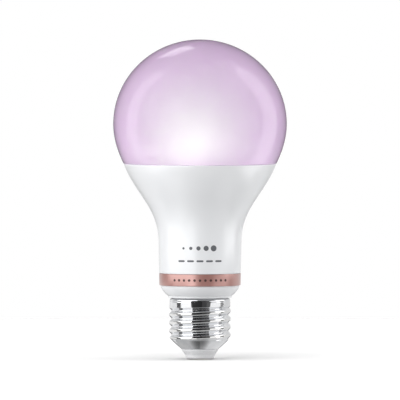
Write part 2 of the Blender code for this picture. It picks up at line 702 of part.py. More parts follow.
def add_board_screws(root):
    head = SCREW_HEAD_DIAMETER / 2.0
    shank = SCREW_SHANK_DIAMETER / 2.0
    length = LIGHT_BOARD_TOP_Z + GAP - PLATE_BOTTOM_Z
    slot_depth = SCREW_HEAD_HEIGHT / 2.0
    profile = [
        (0.0, SCREW_HEAD_HEIGHT - slot_depth),
        (shank * 0.7, SCREW_HEAD_HEIGHT - slot_depth),
        (shank * 0.7, SCREW_HEAD_HEIGHT),
        (head * 0.75, SCREW_HEAD_HEIGHT),
        (head, SCREW_HEAD_HEIGHT * 0.6),
        (head, 0.0),
        (shank, 0.0),
        (shank, -length),
        (0.0, -length),
    ]
    for i, (_angle, x, y) in enumerate(around(SCREW_COUNT, SCREW_RING_RADIUS, SCREW_ANGLE)):
        name = f"board_screw_{i + 1}"
        piece = turned(name, profile, "steel", root, SMALL_SEGMENTS)
        piece.location = (x, y, LIGHT_BOARD_TOP_Z + GAP)


def add_led_socket(root):
    half_chord = math.sqrt(centre_hole_radius() ** 2 - DRIVER_BOARD_Y**2)
    size = (2.0 * (half_chord + SOCKET_FOOT), SOCKET_DEPTH, SOCKET_HEIGHT)
    place = (0.0, DRIVER_BOARD_Y, LIGHT_BOARD_TOP_Z + GAP + SOCKET_HEIGHT / 2.0)
    socket = box_piece("led_socket", size, place, "connector", root)
    slot_width = TAB_WIDTH + 2.0 * GAP
    slot_depth = DRIVER_BOARD_THICKNESS + 2.0 * GAP
    slot = box_bmesh((slot_width, slot_depth, SOCKET_HEIGHT), (0.0, 0.0, -SOCKET_ROOF))
    combine(socket, tool("socket_slot", [slot]), "DIFFERENCE")


# ---------------------------------------------------------------------------------------------
# Driver
# ---------------------------------------------------------------------------------------------


def add_insulating_sleeve(root):
    top = PLATE_BOTTOM_Z - DRIVER_TOP_ROOM
    profile = disc_ring(sleeve_bottom(), top, SLEEVE_BORE, SLEEVE_RADIUS)
    turned("insulating_sleeve", profile, "sleeve_plastic", root)


def half_width_in(radius):
    """Half the width of the driver board that stands in a bore of this radius."""
    depth = abs(DRIVER_BOARD_Y) + DRIVER_BOARD_THICKNESS / 2.0
    return math.sqrt((radius - DRIVER_EDGE_ROOM) ** 2 - depth**2)


def add_driver_board(root):
    narrow = half_width_in(BORE_RADIUS)
    wide = half_width_in(SLEEVE_BORE)
    tab = TAB_WIDTH / 2.0
    shoulder_z = sleeve_bottom()
    tab_top = LIGHT_BOARD_TOP_Z + TAB_REACH
    right = [
        (narrow, DRIVER_BOTTOM_Z),
        (narrow, shoulder_z),
        (wide, shoulder_z),
        (wide, DRIVER_TOP_Z),
        (tab, DRIVER_TOP_Z),
        (tab, tab_top),
    ]
    points = right + [(-x, z) for x, z in reversed(right)]
    mesh = plate_mesh("driver_board", points, DRIVER_BOARD_THICKNESS)
    board = link_object("driver_board", mesh, "green_mask", root)
    board.location = (0.0, DRIVER_BOARD_Y, 0.0)


def add_can_capacitor(root, name, size, x, rise):
    """An electrolytic capacitor standing along the board."""
    diameter, length = size
    radius = diameter / 2.0
    groove = 0.06 * diameter
    crown = 0.05 * diameter
    profile = [
        (0.0, length),
        (radius - crown, length),
        (radius, length - crown),
        (radius, 2.6 * groove + crown),
        (radius - groove, 2.0 * groove),
        (radius, 1.2 * groove),
        (radius - groove, 0.0),
        (0.0, 0.0),
    ]
    piece = turned(name, profile, "capacitor_jacket", root, SMALL_SEGMENTS)
    piece.location = (x, DRIVER_FRONT_Y + GAP + radius, DRIVER_BOTTOM_Z + rise)


def add_fuse_resistor(root):
    diameter, length = FUSE_RESISTOR
    radius = diameter / 2.0
    cap = 0.2 * length
    waist = 0.85 * radius
    profile = [
        (0.0, length),
        (waist, length),
        (radius, length - cap / 2.0),
        (waist, length - cap),
        (waist, cap),
        (radius, cap / 2.0),
        (waist, 0.0),
        (0.0, 0.0),
    ]
    piece = turned("fuse_resistor", profile, "resistor_body", root, SMALL_SEGMENTS)
    place_y = DRIVER_FRONT_Y + GAP + radius
    piece.location = (FUSE_RESISTOR_X, place_y, DRIVER_BOTTOM_Z + FUSE_RESISTOR_RISE)


def add_line_choke(root):
    diameter, length = CHOKE
    radius = diameter / 2.0
    hub = CHOKE_HUB_DIAMETER / 2.0
    place = (CHOKE_X, DRIVER_FRONT_Y + GAP + radius, DRIVER_BOTTOM_Z + CHOKE_RISE)
    spool = [
        (0.0, length),
        (radius, length),
        (radius, length - CHOKE_FLANGE),
        (hub, length - CHOKE_FLANGE),
        (hub, CHOKE_FLANGE),
        (radius, CHOKE_FLANGE),
        (radius, 0.0),
        (0.0, 0.0),
    ]
    core = turned("choke_core", spool, "ferrite", root, SMALL_SEGMENTS)
    core.location = place
    coil = disc_ring(CHOKE_FLANGE + GAP, length - CHOKE_FLANGE - GAP, hub + GAP, radius - GAP)
    winding = turned("choke_winding", coil, "copper", root, SMALL_SEGMENTS)
    winding.location = place


def add_transformer(root):
    width, depth, height = TRANSFORMER_SIZE
    window_height = height - 2.0 * TRANSFORMER_YOKE
    tube_x = TRANSFORMER_LEG + 2.0 * GAP
    tube_y = depth + 2.0 * GAP
    bobbin_x = tube_x + 2.0 * BOBBIN_WALL
    bobbin_y = tube_y + 2.0 * BOBBIN_WALL
    coil_x = bobbin_x + 2.0 * GAP
    coil_y = bobbin_y + 2.0 * GAP
    outer_x = coil_x + 2.0 * WINDING_BUILD
    outer_y = coil_y + 2.0 * WINDING_BUILD
    bobbin_height = window_height - 2.0 * GAP
    coil_height = bobbin_height - 2.0 * (BOBBIN_WALL + GAP)
    centre_z = DRIVER_BOTTOM_Z + TRANSFORMER_RISE + height / 2.0
    place = (0.0, DRIVER_FRONT_Y + GAP + outer_y / 2.0, centre_z)

    core = box_piece("transformer_core", TRANSFORMER_SIZE, place, "ferrite", root)
    window_width = (outer_x - TRANSFORMER_LEG) / 2.0 + GAP
    window_x = (TRANSFORMER_LEG + window_width) / 2.0
    window = (window_width, depth * 2.0, window_height)
    windows = [box_bmesh(window, (side * window_x, 0.0, 0.0)) for side in (-1, 1)]
    combine(core, tool("core_windows", windows), "DIFFERENCE")

    flange_z = (bobbin_height - BOBBIN_WALL) / 2.0
    tube_size = (bobbin_x, bobbin_y, bobbin_height)
    bobbin = box_piece("transformer_bobbin", tube_size, place, "black_plastic", root)
    flange = (outer_x, outer_y, BOBBIN_WALL)
    flanges = [box_bmesh(flange, (0.0, 0.0, side * flange_z)) for side in (-1, 1)]
    combine(bobbin, tool("bobbin_flanges", flanges), "UNION")
    leg_hole = box_bmesh((tube_x, tube_y, height * 2.0))
    combine(bobbin, tool("bobbin_hole", [leg_hole]), "DIFFERENCE")

    coil_size = (outer_x, outer_y, coil_height)
    winding = box_piece("transformer_winding", coil_size, place, "tape", root)
    coil_hole = box_bmesh((coil_x, coil_y, height * 2.0))
    combine(winding, tool("winding_hole", [coil_hole]), "DIFFERENCE")


def add_film_capacitor(root):
    _width, depth, height = FILM_CAPACITOR_SIZE
    centre_z = DRIVER_BOTTOM_Z + FILM_CAPACITOR_RISE + height / 2.0
    place = (FILM_CAPACITOR_X, DRIVER_FRONT_Y + GAP + depth / 2.0, centre_z)
    box_piece("film_capacitor", FILM_CAPACITOR_SIZE, place, "film_box", root, 0.5 * MM)


def add_chip(root, name, size, rise, legs_per_side):
    """A surface-mounted package on the back of the board, with legs on both sides."""
    width, depth, height = size
    place = (0.0, DRIVER_BACK_Y - GAP - depth / 2.0, DRIVER_BOTTOM_Z + rise + height / 2.0)
    body = box_piece(name, size, place, "black_plastic", root)
    pitch = height / legs_per_side
    leg_size = (width + 2.0 * LEAD_REACH, LEAD_THICKNESS, pitch * 0.4)
    legs = []
    for i in range(legs_per_side):
        leg_z = (i + 0.5) * pitch - height / 2.0
        legs.append(box_bmesh(leg_size, (0.0, depth / 2.0 - LEAD_THICKNESS, leg_z)))
    combine(body, tool(f"{name}_legs", legs), "UNION")


# ---------------------------------------------------------------------------------------------
# Wireless module and mains leads
# ---------------------------------------------------------------------------------------------


def add_wireless_module(root):
    _width, depth, height = MODULE_BOARD_SIZE
    top = LIGHT_BOARD_TOP_Z + MODULE_RISE_ABOVE_BOARD
    place = (0.0, MODULE_Y, top - height / 2.0)
    box_piece("module_board", MODULE_BOARD_SIZE, place, "green_mask", root)
    _shield_width, shield_depth, shield_height = SHIELD_SIZE
    shield_y = MODULE_Y + depth / 2.0 + GAP + shield_depth / 2.0
    shield_z = top - SHIELD_TOP_MARGIN - shield_height / 2.0
    shield_place = (0.0, shield_y, shield_z)
    box_piece("module_shield", SHIELD_SIZE, shield_place, "steel", root, 0.3 * MM)


def add_wire(root, name, points, finish):
    """An insulated lead through points, round in section with filled ends."""
    curve = bpy.data.curves.new(name, "CURVE")
    curve.dimensions = "3D"
    curve.bevel_depth = WIRE_DIAMETER / 2.0
    curve.bevel_resolution = 2
    curve.use_fill_caps = True
    curve.render_resolution_u = 0
    curve.resolution_u = 4
    spline = curve.splines.new("BEZIER")
    spline.bezier_points.add(len(points) - 1)
    for knot, place in zip(spline.bezier_points, points):
        knot.co = place
        knot.handle_left_type = "AUTO"
        knot.handle_right_type = "AUTO"
    link_object(name, curve, finish, root)


def add_mains_leads(root):
    pad_y = DRIVER_FRONT_Y + GAP + WIRE_DIAMETER / 2.0
    pad_z = DRIVER_BOTTOM_Z + 2.0 * MM
    stem_top = CONTACT_THICKNESS + CONTACT_STEM_HEIGHT
    add_wire(
        root,
        "live_lead",
        [
            (1.6 * MM, pad_y, pad_z),
            (1.2 * MM, pad_y * 0.8, DRIVER_BOTTOM_Z - 0.5 * MM),
            (0.0, 0.0, stem_top + 2.6 * MM),
            (0.0, 0.0, stem_top + GAP),
        ],
        "live_insulation",
    )
    turn_z = SPIGOT_BOTTOM_Z - GAP - WIRE_DIAMETER
    end_radius = SHELL_ROOT_INNER - 2.0 * GAP
    add_wire(
        root,
        "neutral_lead",
        [
            (-BORE_RADIUS * 0.55, pad_y, pad_z),
            (-BORE_RADIUS * 0.62, pad_y * 0.9, DRIVER_BOTTOM_Z - 0.2 * MM),
            (-BORE_RADIUS * 0.82, pad_y * 0.5, turn_z),
            (-end_radius, 0.0, turn_z),
        ],
        "neutral_insulation",
    )


def build():
    clear_scene()
    root = bpy.data.objects.new("lamp", None)
    bpy.context.scene.collection.objects.link(root)
    add_diffuser_dome(root)
    add_dome_adhesive(root)
    add_housing(root)
    add_accent_band(root)
    add_screw_shell(root)
    add_insulator(root)
    add_centre_contact(root)
    add_heatsink_liner(root)
    add_board_stack(root)
    white = ("white_led", WHITE_LED_COUNT, WHITE_LED_SIZE, WHITE_LED_RING, "phosphor", 0.0)
    colour = ("colour_led", COLOUR_LED_COUNT, COLOUR_LED_SIZE, COLOUR_LED_RING, "clear_lens", 0.0)
    add_led_ring(root, *white)
    add_led_ring(root, *colour)
    add_board_screws(root)
    add_led_socket(root)
    add_insulating_sleeve(root)
    add_driver_board(root)
    add_can_capacitor(
        root, "input_capacitor", INPUT_CAPACITOR, INPUT_CAPACITOR_X, INPUT_CAPACITOR_RISE
    )
    add_fuse_resistor(root)
    add_line_choke(root)
    add_film_capacitor(root)
    add_transformer(root)
    add_can_capacitor(
        root, "output_capacitor", OUTPUT_CAPACITOR, OUTPUT_CAPACITOR_X, OUTPUT_CAPACITOR_RISE
    )
    add_chip(root, "bridge_rectifier", BRIDGE_SIZE, BRIDGE_RISE, 2)
    add_chip(root, "controller_chip", CHIP_SIZE, CHIP_RISE, 4)
    add_chip(root, "switch_transistor", TRANSISTOR_SIZE, TRANSISTOR_RISE, 2)
    add_chip(root, "output_diode", DIODE_SIZE, DIODE_RISE, 1)
    add_wireless_module(root)
    add_mains_leads(root)


build()
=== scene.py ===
"""Looks of the smart light bulb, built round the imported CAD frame.

Units are metres, +Z runs up the lamp's axis, and the camera looks along +Y. The outer pieces are
modelled again with fine meshes; the pieces inside keep their CAD meshes and get new materials.
"""

import math

import bmesh
import bpy
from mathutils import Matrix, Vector


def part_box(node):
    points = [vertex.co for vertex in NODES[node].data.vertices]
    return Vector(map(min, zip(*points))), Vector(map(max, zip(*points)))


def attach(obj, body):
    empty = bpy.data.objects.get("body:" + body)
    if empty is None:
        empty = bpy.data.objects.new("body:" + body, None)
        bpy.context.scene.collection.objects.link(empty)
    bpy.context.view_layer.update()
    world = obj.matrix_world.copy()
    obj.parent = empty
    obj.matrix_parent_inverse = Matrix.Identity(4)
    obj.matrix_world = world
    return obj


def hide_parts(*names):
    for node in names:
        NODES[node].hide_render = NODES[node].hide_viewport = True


MM = 0.001
FULL_TURN = 2.0 * math.pi

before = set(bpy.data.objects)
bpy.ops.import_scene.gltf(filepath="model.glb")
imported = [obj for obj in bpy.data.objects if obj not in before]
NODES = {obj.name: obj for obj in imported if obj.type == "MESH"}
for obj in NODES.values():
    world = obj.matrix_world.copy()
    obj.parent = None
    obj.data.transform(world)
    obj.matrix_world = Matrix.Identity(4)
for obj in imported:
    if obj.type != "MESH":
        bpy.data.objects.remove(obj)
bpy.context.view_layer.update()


# ---------------------------------------------------------------------------------------------
# Places and sizes
# ---------------------------------------------------------------------------------------------

DOME_LOW, DOME_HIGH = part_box("diffuser_dome")
HOUSING_LOW, HOUSING_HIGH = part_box("housing")
BAND_LOW, BAND_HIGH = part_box("accent_band")
SHELL_LOW, SHELL_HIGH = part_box("screw_shell")
INSULATOR_LOW, INSULATOR_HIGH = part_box("insulator")
CONTACT_LOW, CONTACT_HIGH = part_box("centre_contact")

CAD_GAP = 0.3 * MM
SEAM = 0.1 * MM  # the seams that show are finer than the CAD's clearances

# Outline. A lean is how fast the radius grows with z. The bend lies between the neck's top and
# the split: its height and width are shares of the way there, its lean a multiple of the mean.
TOP_Z = DOME_HIGH.z
GLOBE_RADIUS = DOME_HIGH.x
GLOBE_RISE = 36.2 * MM
EQUATOR_Z = TOP_Z - GLOBE_RISE
SPLIT_Z = HOUSING_HIGH.z + CAD_GAP / 2.0
SPLIT_RADIUS = 32.75 * MM
GLOBE_BOTTOM_LEAN = 0.49
SHOULDER_TOP_LEAN = 0.34
NECK_TOP_Z = 51.2 * MM
NECK_RADIUS = 17.8 * MM
NECK_TAPER = 0.021
BEND_HEIGHT = 0.488
BEND_WIDTH = 0.353
BEND_LEAN = 1.40

# Walls. The tongue is the dome's foot that reaches down inside the housing.
DOME_WALL = 1.4 * MM
TONGUE_WALL = 1.3 * MM
HOUSING_WALL = 1.6 * MM
TONGUE_BOTTOM_Z = DOME_LOW.z

# Collar under the band, the lip over the cap and the spigot that the cap is pressed on.
COLLAR_TOP_Z = BAND_LOW.z - CAD_GAP
COLLAR_STEP = 0.6 * MM
LIP_Z = SHELL_HIGH.z + CAD_GAP
LIP_HEIGHT = 0.7 * MM
LIP_RADIUS = 13.55 * MM
COLLAR_PULL = (0.72, 0.38)  # share of the way from the lip to the collar, across and up
SPIGOT_RADIUS = 11.4 * MM
SPIGOT_WALL = 1.6 * MM
SPIGOT_LOW_Z = HOUSING_LOW.z
HOUSING_FLOOR_Z = LIP_Z + 1.8 * MM
HOUSING_FLOOR_RADIUS = 12.45 * MM
BAND_THICKNESS = 0.6 * MM
BAND_PROUD = 0.03 * MM

# Screw shell, from its curled rim down to the cone that holds the insulator.
CREST_RADIUS = SHELL_HIGH.x
THREAD_DEPTH = 1.05 * MM
THREAD_PITCH = 3.43 * MM
THREAD_CREST_Z = 13.95 * MM
THREAD_TOP_Z = 22.9 * MM
THREAD_FADE = 1.1 * MM
THREAD_ROUNDNESS = 1.35  # above one, crests are broad and roots are narrow
RIM_STEP = 0.2 * MM
RIM_CURL = 0.9 * MM
RIM_GROOVE_Z = 25.0 * MM
RIM_GROOVE_HALF = 0.3 * MM
RIM_GROOVE_DEPTH = 0.1 * MM
CONE_TOP_Z = 8.4 * MM
CONE_STEP = 0.9 * MM  # from the crests in to the top of the cone
CONE_BOTTOM_Z = SHELL_LOW.z
CONE_BOTTOM_RADIUS = 7.9 * MM
CONE_BULGE = 0.12 * MM
SHELL_WALL = 0.3 * MM

# Printed marks: how many, how far apart, how high up, and their half sizes.
SCALE_DOTS, SCALE_SPACING, SCALE_Z = 5, 3.3 * MM, 48.1 * MM
SCALE_CENTRE = 2.2  # the place in the row, in dots, that sits on the centre line
SCALE_FIRST, SCALE_GROWTH = 0.5 * MM, 0.2 * MM
BARS, BAR_SPACING, BAR_Z = 5, 4.1 * MM, 42.6 * MM
BAR_HALF_WIDTH, BAR_HALF_HEIGHT = 1.5 * MM, 0.4 * MM
BAND_DOTS, BAND_DOT_SPACING, BAND_DOT_HALF = 11, 2.35 * MM, 0.55 * MM
INK_THICKNESS = 0.02 * MM
INK_SUNK = 0.03 * MM

FINE, COARSE = 192, 96  # segments round the axis
SHARP_ANGLE = math.radians(40.0)


# ---------------------------------------------------------------------------------------------
# Outline
# ---------------------------------------------------------------------------------------------


def hermite(z, low, high):
    """Radius at z on a cubic between two (z, radius, lean) stations."""
    span = high[0] - low[0]
    t = (z - low[0]) / span
    start = (2 * t**3 - 3 * t**2 + 1) * low[1] + (t**3 - 2 * t**2 + t) * span * low[2]
    end = (3 * t**2 - 2 * t**3) * high[1] + (t**3 - t**2) * span * high[2]
    return start + end


def outline(z):
    """Outer radius of the neck, the shoulder and the globe at height z."""
    height = SPLIT_Z - NECK_TOP_Z
    spread = SPLIT_RADIUS - NECK_RADIUS
    neck = (NECK_TOP_Z, NECK_RADIUS, NECK_TAPER)
    shoulder = (SPLIT_Z, SPLIT_RADIUS, SHOULDER_TOP_LEAN)
    globe = (SPLIT_Z, SPLIT_RADIUS, GLOBE_BOTTOM_LEAN)
    equator = (EQUATOR_Z, GLOBE_RADIUS, 0.0)
    bend = (
        NECK_TOP_Z + BEND_HEIGHT * height,
        NECK_RADIUS + BEND_WIDTH * spread,
        BEND_LEAN * spread / height,
    )
    if z >= EQUATOR_Z:
        rise = min((z - EQUATOR_Z) / GLOBE_RISE, 1.0)
        return GLOBE_RADIUS * math.sqrt(1.0 - rise * rise)
    if z >= SPLIT_Z:
        return hermite(z, globe, equator)
    if z >= bend[0]:
        return hermite(z, bend, shoulder)
    if z >= NECK_TOP_Z:
        return hermite(z, neck, bend)
    return NECK_RADIUS - (NECK_TOP_Z - z) * NECK_TAPER


def inside(z, depth):
    """Radius at z of the surface that lies depth inside the outline, measured square to it."""
    step = 0.05 * MM
    lean = (outline(z + step) - outline(z - step)) / (2.0 * step)
    return outline(z) - depth * math.hypot(1.0, lean)


def levels(first, last, count):
    return [first + (last - first) * i / (count - 1) for i in range(count)]


def curve_through(start, pull, end, count):
    """Points on a quadratic curve from start to end, drawn towards pull."""
    points = []
    for i in range(count):
        t = i / (count - 1)
        weights = ((1 - t) ** 2, 2 * t * (1 - t), t * t)
        pairs = zip(start[:2], pull[:2], end[:2])
        points.append(tuple(sum(w * v for w, v in zip(weights, p)) for p in pairs))
    return points


def rounded(path, count=5):
    """A closed path of (r, z) or (r, z, size) points, with a curve of that size at the latter."""
    points = []
    for i, point in enumerate(path):
        if len(point) == 2:
            points.append(point)
            continue
        corner = Vector(point[:2])
        before = Vector(path[i - 1][:2])
        after = Vector(path[(i + 1) % len(path)][:2])
        size = min(point[2], 0.49 * (before - corner).length, 0.49 * (after - corner).length)
        start = corner + (before - corner).normalized() * size
        end = corner + (after - corner).normalized() * size
        points += curve_through(tuple(start), tuple(corner), tuple(end), count)
    return points


# ---------------------------------------------------------------------------------------------
# Meshes
# ---------------------------------------------------------------------------------------------


def piece_from(name, bm, material, replaced=None):
    """Turn a bmesh into a piece that rides on the lamp and takes the given slot."""
    bmesh.ops.recalc_face_normals(bm, faces=bm.faces)
    for face in bm.faces:
        face.smooth = True
    for edge in bm.edges:
        if len(edge.link_faces) == 2 and edge.calc_face_angle(0.0) > SHARP_ANGLE:
            edge.smooth = False
    mesh = bpy.data.meshes.new(name)
    bm.to_mesh(mesh)
    bm.free()
    mesh.materials.append(material)
    piece = bpy.data.objects.new(name, mesh)
    bpy.context.scene.collection.objects.link(piece)
    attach(piece, "root")
    if replaced:
        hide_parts(replaced)
    return piece


def turn(profile, segments=FINE):
    """Turn a closed profile of (r, z) points round the axis."""
    bm = bmesh.new()
    rings = []
    for radius, z in profile:
        if radius < 1e-7:
            rings.append([bm.verts.new((0.0, 0.0, z))])
            continue
        ring = []
        for i in range(segments):
            angle = FULL_TURN * i / segments
            ring.append(bm.verts.new((radius * math.cos(angle), radius * math.sin(angle), z)))
        rings.append(ring)
    for ring, after in zip(rings, rings[1:] + rings[:1]):
        for i in range(segments):
            j = (i + 1) % segments
            if len(ring) == 1 and len(after) == 1:
                break
            if len(ring) == 1:
                bm.faces.new((ring[0], after[i], after[j]))
            elif len(after) == 1:
                bm.faces.new((ring[i], after[0], ring[j]))
            else:
                bm.faces.new((ring[i], after[i], after[j], ring[j]))
    return bm


# ---------------------------------------------------------------------------------------------
# Materials
# ---------------------------------------------------------------------------------------------


class Graph:
    """Short ways to add nodes to a node tree and join them up."""

    def __init__(self, tree):
        self.nodes = tree.nodes
        self.links = tree.links

    def feed(self, socket, value):
        """Join an output to a socket, or set the socket to a plain value."""
        if hasattr(value, "is_output"):
            self.links.new(value, socket)
        else:
            socket.default_value = value

    def node(self, kind, **inputs):
        item = self.nodes.new(kind)
        for socket, value in inputs.items():
            self.feed(item.inputs[socket.replace("_", " ")], value)
        return item

    def math(self, operation, *values):
        item = self.nodes.new("ShaderNodeMath")
        item.operation = operation
        for socket, value in zip(item.inputs, values):
            self.feed(socket, value)
        return item.outputs[0]

    def mix(self, factor, first, second, blend="MIX"):
        item = self.node("ShaderNodeMixRGB", Fac=factor, Color1=first, Color2=second)
        item.blend_type = blend
        return item.outputs["Color"]

    def ramp(self, factor, stops):
        """Colours or greys at places along a ramp: stops is a list of (place, value)."""
        item = self.node("ShaderNodeValToRGB", Fac=factor)
        elements = item.color_ramp.elements
        while len(elements) < len(stops):
            elements.new(1.0)
        for element, (place, value) in zip(elements, stops):
            element.position = place
            grey = isinstance(value, (int, float))
            element.color = (value, value, value, 1.0) if grey else (*value, 1.0)
        return item.outputs["Color"]

    def shown_to_camera(self, shader, camera_shader, output):
        """Send one shader to the output for camera rays and another for all other rays."""
        seen = self.node("ShaderNodeLightPath").outputs["Is Camera Ray"]
        choose = self.node("ShaderNodeMixShader", Fac=seen)
        self.links.new(shader, choose.inputs[1])
        self.links.new(camera_shader, choose.inputs[2])
        self.links.new(choose.outputs["Shader"], output.inputs["Surface"])


class Finish(Graph):
    """A Principled material whose colour, roughness and bump come from nodes."""

    def __init__(self, name, **sockets):
        self.material = bpy.data.materials.new(name)
        self.material.use_nodes = True
        super().__init__(self.material.node_tree)
        self.shader = self.nodes["Principled BSDF"]
        for socket, value in sockets.items():
            self.shader.inputs[socket.replace("_", " ")].default_value = value
        self.place = self.nodes.new("ShaderNodeTexCoord").outputs["Object"]

    def noise(self, scale, detail=3.0, stretch=None):
        """Noise over the object, whose coordinates may be stretched along each axis first."""
        vector = self.place
        if stretch:
            vector = self.node("ShaderNodeMapping", Vector=vector, Scale=stretch).outputs["Vector"]
        item = self.node("ShaderNodeTexNoise", Vector=vector, Scale=scale, Detail=detail)
        return item.outputs["Fac"]

    def colour(self, output):
        self.links.new(output, self.shader.inputs["Base Color"])

    def roughness(self, factor, low, high):
        item = self.node("ShaderNodeMapRange", Value=factor, To_Min=low, To_Max=high)
        self.links.new(item.outputs["Result"], self.shader.inputs["Roughness"])

    def bump(self, height, distance, strength=1.0):
        item = self.node("ShaderNodeBump", Height=height, Distance=distance, Strength=strength)
        self.links.new(item.outputs["Normal"], self.shader.inputs["Normal"])


def shade(colour, factor):
    return tuple(min(c * factor, 1.0) for c in colour)


def diffuser_finish():
    """Frosted plastic that passes and scatters the light of the lamp inside, with its lilac and a glow
    painted in.
    """
    finish = Finish(
        "frosted_diffuser",
        IOR=1.45,
        Transmission_Weight=0.46,
        Coat_Weight=1.0,
        Coat_Roughness=0.04,
        Coat_IOR=1.5,
        # Painted light: the lilac coat tint carries the colour of the lamp's light.
        Coat_Tint=(0.97, 0.925, 0.975, 1.0),
        Emission_Strength=0.25,
    )
    cloud = finish.noise(45.0, 2.0)
    # Painted light: the lilac base colour is the colour of the lamp's light, painted onto plastic that
    # is white.
    finish.colour(finish.ramp(cloud, [(0.3, (0.68, 0.575, 0.70)), (0.7, (0.70, 0.595, 0.72))]))
    # Painted glow: an even emission stands in for the lamp's light shining out through the wall.
    glow = finish.ramp(cloud, [(0.3, (0.80, 0.64, 0.84)), (0.7, (0.84, 0.69, 0.88))])
    finish.links.new(glow, finish.shader.inputs["Emission Color"])
    grain = finish.noise(5200.0, 2.0)
    finish.roughness(grain, 0.82, 0.92)
    finish.bump(grain, 0.004 * MM, 0.35)
    return finish.material


def plastic_finish(name, colour, low, high, grain_scale=3200.0, grain=0.008 * MM):
    """Moulded plastic: slight tone variation, fine grain in the gloss and the surface."""
    finish = Finish(name, IOR=1.47)
    tone = finish.noise(60.0, 4.0)
    stops = [(0.35, shade(colour, 0.975)), (0.65, shade(colour, 1.015))]
    finish.colour(finish.ramp(tone, stops))
    texture = finish.noise(grain_scale, 3.0)
    finish.roughness(texture, low, high)
    finish.bump(texture, grain, 0.4)
    return finish.material


def housing_finish():
    """Satin white plastic under a soft clear coat."""
    finish = Finish("satin_white_housing", IOR=1.55, Coat_Weight=0.8, Coat_Roughness=0.25)
    tone = finish.noise(38.0, 4.0)
    stops = [(0.3, (0.80, 0.812, 0.83)), (0.7, (0.83, 0.84, 0.856))]
    finish.colour(finish.ramp(tone, stops))
    texture = finish.noise(3600.0, 3.0)
    finish.roughness(texture, 0.30, 0.40)
    finish.bump(texture, 0.006 * MM, 0.35)
    return finish.material


def brushed_finish(name, colour, low, high, stretch, metallic=1.0, depth=0.006 * MM, **sockets):
    """Metal with fine lines drawn along it."""
    finish = Finish(name, Metallic=metallic, **sockets)
    lines = finish.noise(1.0, 5.0, stretch)
    cloud = finish.noise(220.0, 3.0)
    faint = finish.math("MULTIPLY", cloud, 0.3)
    both = finish.math("MULTIPLY_ADD", lines, 0.7, faint)
    stops = [(0.35, shade(colour, 0.93)), (0.65, shade(colour, 1.04))]
    finish.colour(finish.ramp(both, stops))
    finish.roughness(both, low, high)
    finish.bump(lines, depth, 0.5)
    return finish.material


def cap_finish():
    """Nickel-plated brass, rolled: bright, with faint lines and rubbed crests."""
    finish = Finish("nickel_plate", Metallic=1.0)
    lines = finish.noise(1.0, 4.0, (160.0, 160.0, 5200.0))
    stain = finish.noise(260.0, 5.0)
    x, y, _z = finish.node("ShaderNodeSeparateXYZ", Vector=finish.place).outputs
    square = finish.math("ADD", finish.math("MULTIPLY", x, x), finish.math("MULTIPLY", y, y))
    radius = finish.math("SQRT", square)
    rubbed_depth = 0.25 * MM
    rubbed = finish.node("ShaderNodeMapRange", Value=radius, From_Max=CREST_RADIUS)
    rubbed.inputs["From Min"].default_value = CREST_RADIUS - rubbed_depth
    plain = finish.ramp(stain, [(0.35, (0.76, 0.77, 0.79)), (0.65, (0.83, 0.835, 0.85))])
    share = finish.math("MULTIPLY", rubbed.outputs["Result"], 0.5)
    finish.colour(finish.mix(share, plain, (0.9, 0.885, 0.85, 1.0)))
    finish.roughness(stain, 0.05, 0.13)
    finish.bump(lines, 0.0015 * MM, 0.4)
    return finish.material


def glowing_finish(name, colour, glow, strength):
    """An LED's face: a tinted filler that glows unevenly."""
    finish = Finish(name, IOR=1.5, Coat_Weight=0.4, Emission_Strength=strength)
    grain = finish.noise(3000.0, 3.0)
    finish.colour(finish.ramp(grain, [(0.3, shade(colour, 0.9)), (0.7, colour)]))
    light = finish.ramp(grain, [(0.3, shade(glow, 0.85)), (0.7, glow)])
    finish.links.new(light, finish.shader.inputs["Emission Color"])
    finish.roughness(grain, 0.25, 0.4)
    finish.bump(grain, 0.01 * MM, 0.3)
    return finish.material


def mask_finish(name, colour, track, cell_scale):
    """Solder mask over copper tracks: ridges and a slightly different tone where tracks run."""
    finish = Finish(name, IOR=1.5, Coat_Weight=0.3, Coat_Roughness=0.15)
    item = finish.node("ShaderNodeTexVoronoi", Vector=finish.place, Scale=cell_scale)
    item.distance = "CHEBYCHEV"
    item.feature = "F1"
    cells = item.outputs["Distance"]
    tracks = finish.ramp(cells, [(0.0, 0.0), (0.36, 0.0), (0.4, 1.0)])
    finish.colour(finish.mix(tracks, (*colour, 1.0), (*track, 1.0)))
    finish.roughness(finish.noise(1500.0), 0.28, 0.42)
    finish.bump(tracks, 0.03 * MM, 0.6)
    return finish.material


def wound_finish(name, colour, low, high, pitch):
    """Windings or wraps: ridges at a steady pitch up the lamp, with painted shade in the troughs between
    them.
    """
    finish = Finish(name, Metallic=0.85)
    z = finish.node("ShaderNodeSeparateXYZ", Vector=finish.place).outputs[2]
    ridge = finish.math("SINE", finish.math("MULTIPLY", z, FULL_TURN / pitch))
    height = finish.math("MULTIPLY_ADD", ridge, 0.5, 0.5)
    # Painted shade: the colour darkens to about a third in the troughs between the turns.
    finish.colour(finish.ramp(height, [(0.1, shade(colour, 0.35)), (0.6, colour)]))
    finish.roughness(finish.noise(1800.0), low, high)
    finish.bump(height, 0.08 * MM, 1.0)
    return finish.material


def banded_finish(name, colour, bands):
    """A body with painted rings: bands is a list of (z, half height, colour)."""
    finish = Finish(name, IOR=1.5, Coat_Weight=0.5)
    z = finish.node("ShaderNodeSeparateXYZ", Vector=finish.place).outputs[2]
    grain = finish.noise(900.0, 3.0)
    current = finish.ramp(grain, [(0.3, shade(colour, 0.94)), (0.7, colour)])
    for centre, half, paint in bands:
        away = finish.math("ABSOLUTE", finish.math("SUBTRACT", z, centre))
        current = finish.mix(finish.math("LESS_THAN", away, half), current, (*paint, 1.0))
    finish.colour(current)
    finish.roughness(grain, 0.22, 0.36)
    finish.bump(grain, 0.015 * MM, 0.4)
    return finish.material


